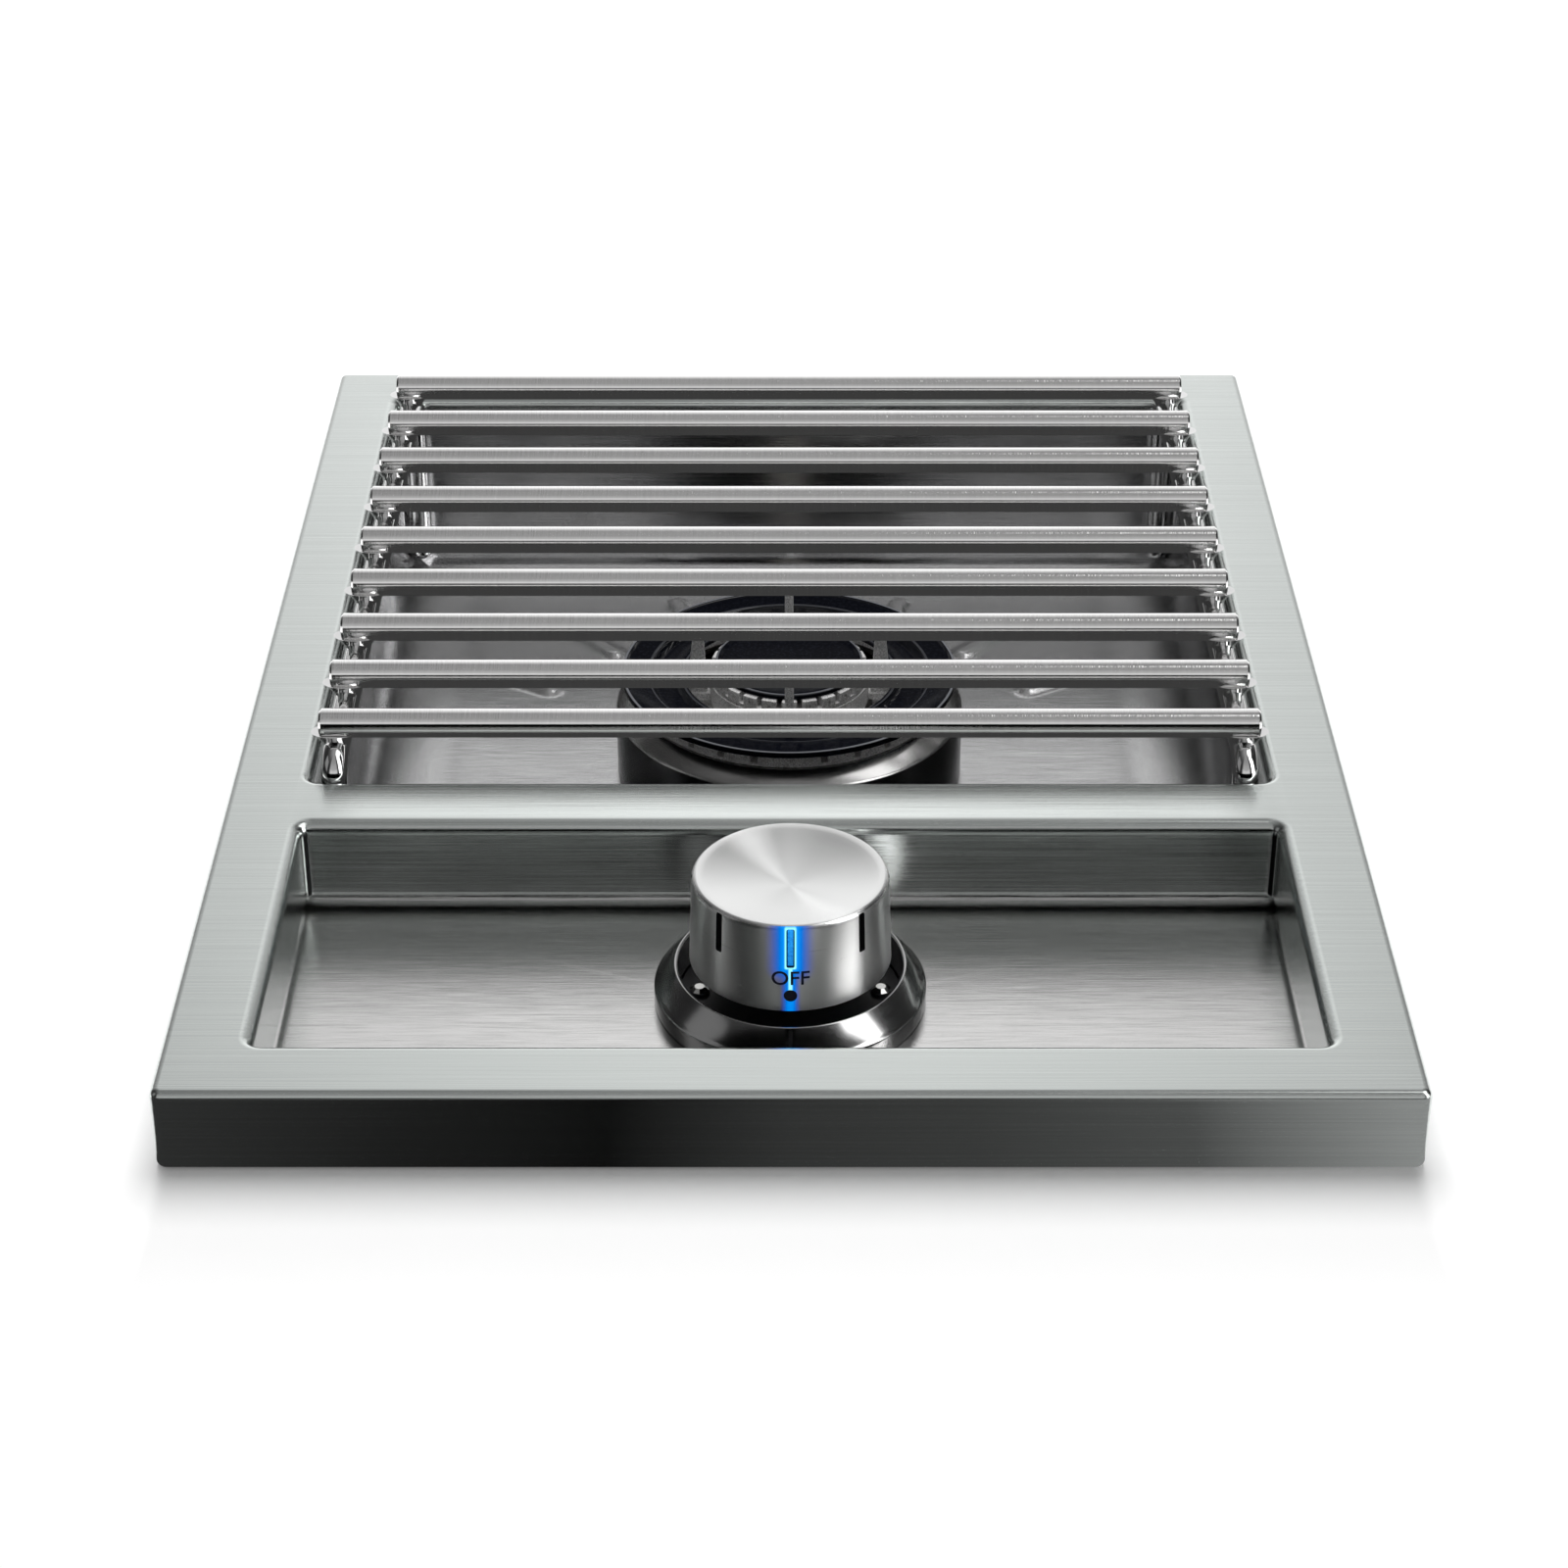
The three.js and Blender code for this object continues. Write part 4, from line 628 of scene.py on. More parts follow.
# %% Model the burner pan
PAN_FLOOR = pan_low.z + LINER
PAN_REACH = 2.3 * MM
SIDE_BEND = 28 * MM
END_BEND = 8 * MM
PAN_TOP_BEND = 3 * MM
BEAD_INNER = 95 * MM
BEAD_OUTER = 128 * MM
BEAD_WIDTH = 10 * MM
BEAD_SLOPE = 3.2 * MM
BEAD_HEIGHT = 2 * MM
BEAD_ANGLES = [side + angle for side in (90, -90) for angle in (-60, -40, -20, 0, 20, 40, 60)]
FLOOR_PITCH = 1.5 * MM
MIXER_HOLE = 36 * MM
IGNITER_Y = middle(*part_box("igniter_ceramic"), 1)
IGNITER_HOLE = 3.4 * MM
PAN_WALL_PAINTED_SHADE = 0.8
PAN_WALL_SHADE_RISE = (PAN_FLOOR + 3 * MM, PAN_FLOOR + 16 * MM)


def bead_height(x, y):
    """How far the beads raise the floor at a place, measured from the burner's centre."""
    height = 0.0
    for degrees in BEAD_ANGLES:
        turn = math.radians(degrees)
        along = x * math.cos(turn) + y * math.sin(turn)
        across = y * math.cos(turn) - x * math.sin(turn)
        beyond = along - min(max(along, BEAD_INNER + BEAD_WIDTH / 2), BEAD_OUTER - BEAD_WIDTH / 2)
        share = (BEAD_WIDTH / 2 - math.hypot(beyond, across)) / BEAD_SLOPE
        share = min(max(share, 0.0), 1.0)
        height = max(height, BEAD_HEIGHT * share * share * (3 - 2 * share))
    return height


def open_hole(bm, x, y, radius):
    """Take the floor away inside a circle, and round off what is left."""
    centre = Vector((x, y))
    inside = [f for f in bm.faces if (f.calc_center_median().xy - centre).length < radius + FLOOR_PITCH / 2]
    bmesh.ops.delete(bm, geom=inside, context="FACES")
    for vert in bm.verts:
        away = vert.co.xy - centre
        if away.length < radius + 2 * FLOOR_PITCH and vert.is_boundary:
            vert.co.xy = centre + away.normalized() * radius


def burner_pan():
    bm = bmesh.new()
    flat_x = HALF_OPENING + PAN_REACH - SIDE_BEND
    flat_y = pan_half + PAN_REACH - END_BEND
    half_x, half_y = flat_x - OPENING_CORNER, flat_y - OPENING_CORNER
    grid = bmesh.ops.create_grid(bm, x_segments=round(2 * half_x / FLOOR_PITCH),
                                 y_segments=round(2 * half_y / FLOOR_PITCH), size=1.0)["verts"]
    bmesh.ops.scale(bm, vec=(half_x, half_y, 1), verts=grid)
    for vert in grid:
        vert.co.z = bead_height(vert.co.x, vert.co.y)
    bmesh.ops.translate(bm, vec=(0, pan_centre, PAN_FLOOR), verts=grid)
    rim = [edge for edge in bm.edges if edge.is_boundary]
    open_hole(bm, 0, pan_centre, MIXER_HOLE)
    open_hole(bm, 0, IGNITER_Y, IGNITER_HOLE)
    shapes = []
    for swung in (math.radians(90 * step / 12) for step in range(13)):
        out, up = math.sin(swung), 1 - math.cos(swung)
        shapes.append(loop_shape(flat_x + SIDE_BEND * out, flat_y + END_BEND * out, OPENING_CORNER,
                                 PAN_FLOOR + SIDE_BEND * up, PAN_FLOOR + END_BEND * up))
    top_bend = arc(PAN_REACH + PAN_TOP_BEND, LINER_TOP - PAN_TOP_BEND, PAN_TOP_BEND, 180, 90)
    for out, z in [*top_bend, (FLANGE_REACH, LINER_TOP)]:
        shapes.append(loop_shape(HALF_OPENING + out, pan_half + out, OPENING_CORNER, z))
    first = pressed(bm, shapes, pan_centre)[0]
    bmesh.ops.triangle_fill(bm, edges=rim + first, use_beauty=True, normal=UP)
    floor = Vector((flat_x - 2 * MM, pan_centre, PAN_FLOOR))
    piece = finished(bm, "pan_sheet", "brushed_pan", "housing", "burner_pan", 45, floor)
    return thicken(piece, LINER)


# Painted shade: the pan's colour darkens from the floor up its walls.
retone(pan_steel, pan_steel.axes(pan_steel.place())[2].between(*PAN_WALL_SHADE_RISE), PAN_WALL_PAINTED_SHADE)
burner_pan()

# %% [markdown]
# ## The grate's rods
# Each rod is a cut length of drawn bar with a small chamfer at both ends. A cone tool with equal
# radii makes the bar, and its end rims are bevelled.

# %% Model the rods
ROD_CHAMFER = 0.7 * MM
LYING = Matrix.Rotation(math.pi / 2, 4, "Y")
rod_nodes = [f"grate_rod_{row}" for row in range(1, 10)]


def bar(bm, radius, length, matrix, segments):
    """A straight round bar, with closed ends."""
    bmesh.ops.create_cone(bm, cap_ends=True, segments=segments, radius1=radius, radius2=radius,
                          depth=length, matrix=matrix)


def round_edges(bm, edges, width, segments=3):
    bmesh.ops.bevel(bm, geom=edges, offset=width, affect="EDGES", segments=segments, profile=0.5,
                    material=-1)


def grate_rod(node):
    low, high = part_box(node)
    bm = bmesh.new()
    bar(bm, (high.z - low.z) / 2, high.x - low.x, Matrix.Translation((low + high) / 2) @ LYING, 48)
    rims = [edge for edge in bm.edges if abs(edge.verts[0].co.x - edge.verts[1].co.x) < MM]
    round_edges(bm, rims, ROD_CHAMFER, 1)
    return finished(bm, node.replace("grate_", "steel_"), "rod_steel", "grate", node)


for node in rod_nodes:
    grate_rod(node)

# %% [markdown]
# ## The grate's rails
# Under the rods' ends runs one bent bar each side: a foot, a bend, the long rail, a bend and a foot.
# The bar is a circle that is extruded and spun round each bend, as a bender does it. A weld joins each
# rod: wide under the rod and narrow on the rail, turned from a curved profile and squeezed flat.

# %% Model the rails
RAIL_RADIUS = 4 * MM
RAIL_BEND = 8 * MM
RAIL_SIDES = 28
rod_low, rod_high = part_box("grate_rod_1")
ROD_Z = middle(rod_low, rod_high, 2)
ROD_RADIUS = ROD_Z - rod_low.z
WELD_SINK = 1.6 * MM
WELD_FLARE = 2.2


def round_foot(bm, place):
    """The lower half of a ball."""
    verts = bmesh.ops.create_uvsphere(bm, u_segments=RAIL_SIDES, v_segments=12, radius=RAIL_RADIUS,
                                      matrix=Matrix.Translation(place))["verts"]
    upper = [vert for vert in verts if vert.co.z > place[2] + 1e-6]
    bmesh.ops.delete(bm, geom=upper, context="VERTS")


def push(bm, edges, vector):
    verts, edges = extruded(bm, edges)
    bmesh.ops.translate(bm, vec=vector, verts=verts)
    return edges


def swing(bm, edges, centre):
    """Carry the bar's end a quarter turn round a bend."""
    made = bmesh.ops.spin(bm, geom=edges, cent=centre, axis=(1, 0, 0), angle=-math.pi / 2, steps=10)
    return kept(made["geom_last"], bmesh.types.BMEdge)


def weld(bm, x, y, rail_z):
    """A flared weld from the rail's top to the rod's underside."""
    foot, neck, wide = 4.6 * MM, 3.9 * MM, 7.4 * MM
    top = ROD_Z - ROD_RADIUS + WELD_SINK
    profile = [(neck + (wide - neck) * share ** WELD_FLARE, rail_z + (top - rail_z) * share)
               for share in (step / 8 for step in range(9))]
    verts = [bm.verts.new((0, 0, profile[0][1]))]
    verts += [bm.verts.new((r, 0, z)) for r, z in profile]
    verts += [bm.verts.new((0, 0, top))]
    edges = [bm.edges.new(pair) for pair in zip(verts, verts[1:])]
    before = set(bm.verts) - set(verts)
    bmesh.ops.spin(bm, geom=verts + edges, cent=(0, 0, 0), axis=UP, angle=math.tau, steps=24,
                   use_merge=True)
    made = [vert for vert in bm.verts if vert not in before]
    bmesh.ops.scale(bm, vec=(1, foot / wide, 1), verts=made)
    bmesh.ops.translate(bm, vec=(x, y, 0), verts=made)


def grate_rail(node):
    low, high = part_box(node)
    x = middle(low, high, 0)
    front, back = low.y + RAIL_RADIUS, high.y - RAIL_RADIUS
    rail_z = ROD_Z - ROD_RADIUS - 0.3 * MM - RAIL_RADIUS
    bend_z = rail_z - RAIL_BEND
    foot_z = low.z + RAIL_RADIUS
    bm = bmesh.new()
    round_foot(bm, (x, front, foot_z))
    edges = [edge for edge in bm.edges if edge.is_boundary]
    edges = push(bm, edges, (0, 0, bend_z - foot_z))
    edges = swing(bm, edges, (x, front + RAIL_BEND, bend_z))
    edges = push(bm, edges, (0, back - front - 2 * RAIL_BEND, 0))
    edges = swing(bm, edges, (x, back - RAIL_BEND, bend_z))
    push(bm, edges, (0, 0, foot_z - bend_z))
    round_foot(bm, (x, back, foot_z))
    for rod in rod_nodes:
        weld(bm, x, middle(*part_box(rod), 1), rail_z)
    return finished(bm, node.replace("grate_", "steel_"), "rail_steel", "grate", node, 50)


for side in SIDES:
    grate_rail(f"grate_rail_{side}")

# %% [markdown]
# ## Turned pieces
# The bezel, the knob and most of the burner are turned or spun round one axis. Their profile is a short
# list of radius and height. `spin` carries it round, and the rims that catch the light are bevelled
# where the profile turns.

# %% Helpers for turned pieces
def lathe(profile, x, y, steps, rims=(), width=0.0, segments=3):
    """Spin a profile of radius and height round an upright axis, and bevel some of its rims."""
    bm = bmesh.new()
    verts = [bm.verts.new((x + r, y, z)) for r, z in profile]
    edges = [bm.edges.new(pair) for pair in zip(verts, verts[1:])]
    bmesh.ops.spin(bm, geom=verts + edges, cent=(x, y, 0), axis=UP, angle=math.tau, steps=steps,
                   use_merge=True)
    bmesh.ops.remove_doubles(bm, verts=bm.verts, dist=1e-7)
    rings = []
    for r, z in (profile[rim] for rim in rims):
        rings += [edge for edge in bm.edges if all(
            abs(vert.co.z - z) < 2e-6 and abs(math.hypot(vert.co.x - x, vert.co.y - y) - r) < 2e-6
            for vert in edge.verts)]
    if rings:
        round_edges(bm, rings, width, segments)
    return bm


def evaluated(piece):
    """The mesh of a piece with its modifiers applied."""
    return bpy.data.meshes.new_from_object(piece.evaluated_get(bpy.context.evaluated_depsgraph_get()))


def carve(piece, tools, finish=None):
    """Cut a bmesh of tools out of a piece, and give the cut a finish where one is named."""
    bmesh.ops.recalc_face_normals(tools, faces=tools.faces)
    cutter = mesh_object(tools, "cutter", finish)
    if finish:
        piece.data.materials.append(FINISHES[finish])
    cut = piece.modifiers.new("Cut", "BOOLEAN")
    cut.operation = "DIFFERENCE"
    cut.solver = "EXACT"
    cut.material_mode = "TRANSFER"
    cut.object = cutter
    carved = evaluated(piece)
    piece.modifiers.clear()
    piece.data = carved
    bpy.data.objects.remove(cutter)
    smooth(carved, 30)
    print(f"{piece.name}: {len(carved.polygons)} faces after cutting")
    return piece


def join_mesh(bm, other):
    mesh = bpy.data.meshes.new("part")
    other.to_mesh(mesh)
    other.free()
    bm.from_mesh(mesh)
    bpy.data.meshes.remove(mesh)


def cut_block(bm, low, high, matrix):
    """A block between two corners, turned and moved by a matrix."""
    made = bmesh.ops.create_cube(bm, size=1.0)["verts"]
    bmesh.ops.scale(bm, vec=Vector(high) - Vector(low), verts=made)
    bmesh.ops.translate(bm, vec=(Vector(high) + Vector(low)) / 2, verts=made)
    bmesh.ops.transform(bm, matrix=matrix, verts=made)


def round_axis(x, y, degrees):
    return Matrix.Translation((x, y, 0)) @ Matrix.Rotation(math.radians(degrees), 4, "Z")


print("turning helpers ready")

# %% [markdown]
# ## The bezel
# A polished ring with a sloping face stands round the knob and hides its gap. Its index line is a cut
# at the front, filled with black paint.

# %% Model the bezel
bezel_low, bezel_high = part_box("knob_bezel")
BEZEL_OUTER = (bezel_high.x - bezel_low.x) / 2
BEZEL_INNER = 32.4 * MM
BEZEL_EDGE = TRAY_FLOOR + 5.4 * MM
INDEX_HALF = 0.55 * MM
moulded("index_paint", (0.01, 0.01, 0.011), 0.35)


def knob_bezel():
    bottom, top = bezel_low.z, bezel_high.z
    profile = [
        (BEZEL_INNER, bottom), (BEZEL_OUTER, bottom), (BEZEL_OUTER, BEZEL_EDGE),
        (BEZEL_OUTER - MM, BEZEL_EDGE + MM), (BEZEL_INNER + MM, top), (BEZEL_INNER, top - 0.5 * MM),
        (BEZEL_INNER, bottom),
    ]
    bm = lathe(profile, KNOB_X, KNOB_Y, 128, (2, 3, 4, 5), 0.35 * MM)
    piece = finished(bm, "bezel_ring", "bezel_chrome", "housing", "knob_bezel")
    tool = bmesh.new()
    slope = math.atan2(top - BEZEL_EDGE - MM, BEZEL_OUTER - BEZEL_INNER - 2 * MM)
    centre = (KNOB_X, KNOB_Y - (BEZEL_OUTER + BEZEL_INNER) / 2, (BEZEL_EDGE + MM + top) / 2)
    place = Matrix.Translation(centre) @ Matrix.Rotation(slope, 4, "X")
    cut_block(tool, (-INDEX_HALF, -3 * MM, -0.5 * MM), (INDEX_HALF, 3 * MM, 0.5 * MM), place)
    return carve(piece, tool, "index_paint")


knob_bezel()

# %% [markdown]
# ## The knob
# The shell is turned from steel: a dished top with a spun finish, a thin bright edge and a side that
# narrows a little upwards. Eight slots are milled in the side. The front one goes right through and
# shows the light guide, with the mark OFF and a filled dot under it. The light that bleeds onto the
# satin steel beside the slot is painted: the finish has a painted blue glow and a blue tint that fade
# away from the slot's outline, and painted bright lines along the slot's edge and down to the dot.

# %% Sizes of the knob
KNOB_SKIRT = (knob_high.x - knob_low.x) / 2
KNOB_TAPER = 0.9 * MM
KNOB_RADIUS = KNOB_SKIRT - KNOB_TAPER
KNOB_WALL = 2.2 * MM
KNOB_DISH = 4.2 * MM
KNOB_EDGE = 1.7 * MM
KNOB_CAP = 3 * MM
SLOT_TOP = knob_high.z - 0.8 * MM
SLOT_BOTTOM = SLOT_TOP - 12.4 * MM
SLOT_WIDTH = 2.3 * MM
SLOT_DEPTH = 1.5 * MM
DOT_RADIUS = 1.9 * MM
DOT_Z = knob_low.z + 5.2 * MM
LETTER_HEIGHT = 4.4 * MM
LETTER_Z = knob_low.z + 10.7 * MM


def knob_side(z):
    """The radius of the knob's side at a height."""
    return KNOB_SKIRT - KNOB_TAPER * (z - knob_low.z) / (knob_high.z - KNOB_EDGE - knob_low.z)


print("knob radius", round(KNOB_RADIUS, 4), "to", round(KNOB_SKIRT, 4))

# %% Finishes of the knob
def painted_slot_light(finish, x, y, z):
    """The light that the slot throws on the steel beside it, painted into the finish, and how strong it is.
    """
    beside = (abs(x) - SLOT_WIDTH / 2).at_least(0.0)
    above = (abs(z - (SLOT_TOP + SLOT_BOTTOM) / 2) - (SLOT_TOP - SLOT_BOTTOM) / 2).at_least(0.0)
    away = (beside * beside + above * above) ** 0.5
    halo = 1.0 - away.between(-1.0 * MM, 6.8 * MM)
    outline = 1.0 - away.between(0.15 * MM, 0.75 * MM)
    below = 1.0 - z.between(SLOT_BOTTOM - 0.4 * MM, SLOT_BOTTOM)
    core = (1.0 - abs(x).between(0.25 * MM, 0.8 * MM)) * below * (z > DOT_Z)
    spill = (1.0 - abs(x).between(0.3 * MM, 3.2 * MM)) * below
    front = (y < -0.95 * KNOB_RADIUS) * (z < SLOT_TOP + 0.6 * MM)
    bright = outline.at_least(core) * front
    soft = (halo ** 1.2).at_least(spill * 0.8) * front
    tint = finish.blend(soft, colour(0.0, 0.03, 0.80), colour(0.0, 0.34, 1.0))
    tint = finish.blend(bright, tint, colour(0.32, 0.92, 1.0))
    return tint, (soft * 1.15 + bright * 0.75).at_most(1.2), soft


def knob_steel():
    finish = Finish("knob_steel", Metallic=1.0, Anisotropic=1.0, Anisotropic_Rotation=0.25)
    x, y, z = finish.axes(finish.place())
    x, y = x - KNOB_X, y - KNOB_Y
    radius = (x * x + y * y) ** 0.5
    spun = finish.noise(finish.vector(radius * 5200.0, z * 2600.0, x * 30.0), 1.0, 3.0, 0.7)
    on_top = finish.facing()[2].between(0.5, 0.8)
    # Painted light: the slot's glow, its bright outline and the streak under it become emission, and the
    # glow also tints the steel's colour deep blue.
    tint, power, soft = painted_slot_light(finish, x, y, z)
    steel = finish.scaled((0.94, 0.945, 0.94), spun * 0.05 + 0.975)
    finish.set(Base_Color=finish.blend((soft * 1.6).at_most(1.0), steel, colour(0.02, 0.10, 0.30)),
               Roughness=0.28 - on_top * 0.02 + (spun - 0.5) * 0.03)
    finish.set(Emission_Color=finish.scaled(tint, power), Emission_Strength=1.0)
    return finish.bump(spun, 0.000006)


def lit_guide():
    finish = Finish("lit_guide", Roughness=0.3, Emission_Strength=1.0)
    z = finish.axes(finish.place())[2]
    frost = finish.noise(finish.place(), 1500.0, 2.0, 0.8)
    fade = (z - SLOT_BOTTOM) / (SLOT_TOP - SLOT_BOTTOM)
    glow = finish.blend(frost.between(0.3, 0.7), colour(0.0, 0.16, 0.68), colour(0.02, 0.38, 0.95))
    finish.set(Base_Color=colour(0.01, 0.05, 0.14), Emission_Color=finish.scaled(glow, fade * 0.3 + 0.75))


knob_steel()
lit_guide()
moulded("knob_ink", (0.004, 0.005, 0.022), 0.4)
# The faces inside the cut slots are coloured near-black.
moulded("slot_near_black", (0.018, 0.018, 0.019), 0.45)
print("knob finishes made")

# %% Model the knob's shell
def knob_profile():
    """The section of the shell: dish, rounded edge, tapered side and cavity."""
    top, bottom = knob_high.z, knob_low.z
    dish = KNOB_RADIUS - KNOB_EDGE
    cavity = top - KNOB_DISH - KNOB_CAP
    return [
        *[(dish * step / 16, top - KNOB_DISH * (1 - (step / 16) ** 2)) for step in range(16)],
        *arc(dish, top - KNOB_EDGE, KNOB_EDGE, 80, 0, 8),
        (KNOB_SKIRT, bottom), (KNOB_SKIRT - KNOB_WALL, bottom), (KNOB_RADIUS - KNOB_WALL, cavity),
        (0, cavity),
    ]


def knob_slot(place):
    """A block with rounded ends that cuts one slot. The front one goes right through the wall."""
    slot = bmesh.new()
    depth = SLOT_DEPTH if place else KNOB_WALL + MM
    cut_block(slot, (-SLOT_WIDTH / 2, -KNOB_SKIRT - MM, SLOT_BOTTOM),
              (SLOT_WIDTH / 2, depth - KNOB_RADIUS, SLOT_TOP), Matrix.Identity(4))
    ends = [edge for edge in slot.edges if abs(edge.verts[0].co.y - edge.verts[1].co.y) > MM]
    round_edges(slot, ends, 0.5 * MM)
    bmesh.ops.transform(slot, matrix=round_axis(KNOB_X, KNOB_Y, 45 * place), verts=slot.verts)
    return slot


def knob_shell():
    bm = lathe(knob_profile(), KNOB_X, KNOB_Y, 180, (-4,), 0.25 * MM, 2)
    piece = finished(bm, "knob_steel_shell", "knob_steel", "knob", "knob_shell")
    tool = bmesh.new()
    for place in range(8):
        join_mesh(tool, knob_slot(place))
    carve(piece, tool, "slot_near_black")
    tool = bmesh.new()
    dot_place = Matrix.Translation((KNOB_X, KNOB_Y - knob_side(DOT_Z) - 0.7 * MM, DOT_Z))
    bar(tool, DOT_RADIUS, 2 * MM, dot_place @ Matrix.Rotation(math.pi / 2, 4, "X"), 40)
    return carve(piece, tool, "knob_ink")


knob_shell()

# %% The word OFF
def off_mark():
    curve = bpy.data.curves.new("off_mark", "FONT")
    curve.body = "OFF"
    curve.align_x = "CENTER"
    curve.align_y = "CENTER"
    curve.size = LETTER_HEIGHT / 0.70
    curve.offset = 0.06 * MM
    curve.extrude = 0.05 * MM
    curve.resolution_u = 6
    word = linked("off_mark", curve)
    mesh = evaluated(word)
    bpy.data.objects.remove(word)
    bm = bmesh.new()
    bm.from_mesh(mesh)
    bmesh.ops.remove_doubles(bm, verts=bm.verts, dist=1e-7)
    for vert in bm.verts:
        z = LETTER_Z + vert.co.y
        reach = knob_side(z) + vert.co.z
        angle = vert.co.x / reach
        vert.co = (KNOB_X + reach * math.sin(angle), KNOB_Y - reach * math.cos(angle), z)
    return finished(bm, "off_mark", "knob_ink", "knob", sharp=32)


off_mark()

# %% [markdown]
# ## The burner
# A polished base cup stands on the pan. The cast ring sits on its ledge: the flame ports are notches
# milled in its rim, and a small ring of ports stands in the middle on four arms. Upright fins hold the
# outer cap in place. Both caps are pressed steel with black enamel, which is glass: a dark base under a
# clear coat with a slight orange peel. The light that their rims catch is painted as thin pale lines.

# %% Model the base cup
base_low, base_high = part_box("burner_base")
BURNER_Y = middle(base_low, base_high, 1)
BASE_RADIUS = (base_high.x - base_low.x) / 2
BASE_WALL = 2.4 * MM
BASE_MOUTH = 53.2 * MM
BASE_BORE = 51.2 * MM
LEDGE_RADIUS = 44 * MM
# The base cup's colour turns nearly black below its shoulder.
polished("base_polish", (0.55, 0.545, 0.54), 0.20, dark_below=base_high.z - 4.6 * MM)


def burner_base():
    top, radius = base_high.z, BASE_RADIUS
    shoulder = top - 4 * MM
    profile = [
        (radius, base_low.z), (radius, shoulder - 0.7 * MM), (radius - 0.7 * MM, shoulder),
        (BASE_MOUTH, top), (BASE_BORE, top), (BASE_BORE, top - 2 * MM), (LEDGE_RADIUS, top - 2 * MM),
        (LEDGE_RADIUS, top - 4 * MM), (BASE_BORE, top - 4 * MM), (radius - BASE_WALL, shoulder - BASE_WALL),
        (radius - BASE_WALL, base_low.z), (radius, base_low.z),
    ]
    bm = lathe(profile, 0, BURNER_Y, 144, (1, 2, 3), 0.3 * MM)
    return finished(bm, "base_cup", "base_polish", "housing", "burner_base")


burner_base()

# %% Model the cast ring
crown_low, crown_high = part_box("outer_crown")
SEAT_Z = crown_low.z
CROWN_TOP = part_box("outer_cap")[0].z + 3.4 * MM - 0.3 * MM
HUB_OUTER = 27.4 * MM
HUB_INNER = 18 * MM
SEAT_RADIUS = 50.9 * MM
RIM_INNER = 48.5 * MM
ARM = 2.2 * MM
FIN_HALF = 1.5 * MM
PORTS = 28
PORT_HALF = 1.25 * MM
PORT_DEPTH = 5 * MM


def square_ring(inner, outer, low_z, high_z):
    """The closed profile of a ring with a square section."""
    return [(inner, low_z), (outer, low_z), (outer, high_z), (inner, high_z), (inner, low_z)]


def crown_fin(bm, degrees):
    """A tapered fin that stands on an arm."""
    block = bmesh.new()
    cut_block(block, (28 * MM, -FIN_HALF, SEAT_Z), (35.5 * MM, FIN_HALF, crown_high.z), Matrix.Identity(4))
    for vert in block.verts:
        if vert.co.z > SEAT_Z + MM:
            vert.co.x += 1.5 * MM if vert.co.x < 30 * MM else -2.5 * MM
    edges = [edge for edge in block.edges if max(vert.co.z for vert in edge.verts) > SEAT_Z + MM]
    round_edges(block, edges, 0.6 * MM)
    bmesh.ops.transform(block, matrix=round_axis(0, BURNER_Y, degrees), verts=block.verts)
    join_mesh(bm, block)


def add_hub(piece):
    """Add the hub ring, the arms and the fins to the notched rim."""
    bm = lathe(square_ring(HUB_INNER, HUB_OUTER, SEAT_Z, SEAT_Z + 7.4 * MM), 0, BURNER_Y, 96)
    arm_z = SEAT_Z + 0.01 * MM
    for degrees in (0, 90, 180, 270):
        cut_block(bm, (26.4 * MM, -3 * MM, arm_z), (45 * MM, 3 * MM, arm_z + ARM),
                  round_axis(0, BURNER_Y, degrees))
        crown_fin(bm, degrees)
    bmesh.ops.recalc_face_normals(bm, faces=bm.faces)
    bm.from_mesh(piece.data)
    bm.to_mesh(piece.data)
    bm.free()
    smooth(piece.data, 30)
    print(f"{piece.name}: {len(piece.data.polygons)} faces with its hub, arms and fins")
    return piece


def outer_crown():
    rim_z = base_high.z + 0.3 * MM
    rim = [
        (LEDGE_RADIUS, SEAT_Z), (SEAT_RADIUS, SEAT_Z), (SEAT_RADIUS, rim_z), (53 * MM, rim_z),
        (52.4 * MM, CROWN_TOP), (RIM_INNER, CROWN_TOP), (RIM_INNER, SEAT_Z + ARM),
        (LEDGE_RADIUS, SEAT_Z + ARM), (LEDGE_RADIUS, SEAT_Z),
    ]
    bm = lathe(rim, 0, BURNER_Y, 168, (3, 4), 0.35 * MM)
    piece = finished(bm, "cast_ring", "cast_burner", "burner_crown", "outer_crown")
    tool = bmesh.new()
    for place in range(PORTS):
        if place % (PORTS // 4):
            cut_block(tool, (RIM_INNER - MM, -PORT_HALF, CROWN_TOP - PORT_DEPTH),
                      (54 * MM, PORT_HALF, CROWN_TOP + MM), round_axis(0, BURNER_Y, 360 * place / PORTS))
    carve(piece, tool)
    return add_hub(piece)


outer_crown()

# %% Model the small ring
ring_low, ring_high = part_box("inner_crown")
RING_OUTER = (ring_high.x - ring_low.x) / 2
RING_INNER = RING_OUTER - 5 * MM
SMALL_PORTS = 24
PIN_HOLE = 0.6 * MM


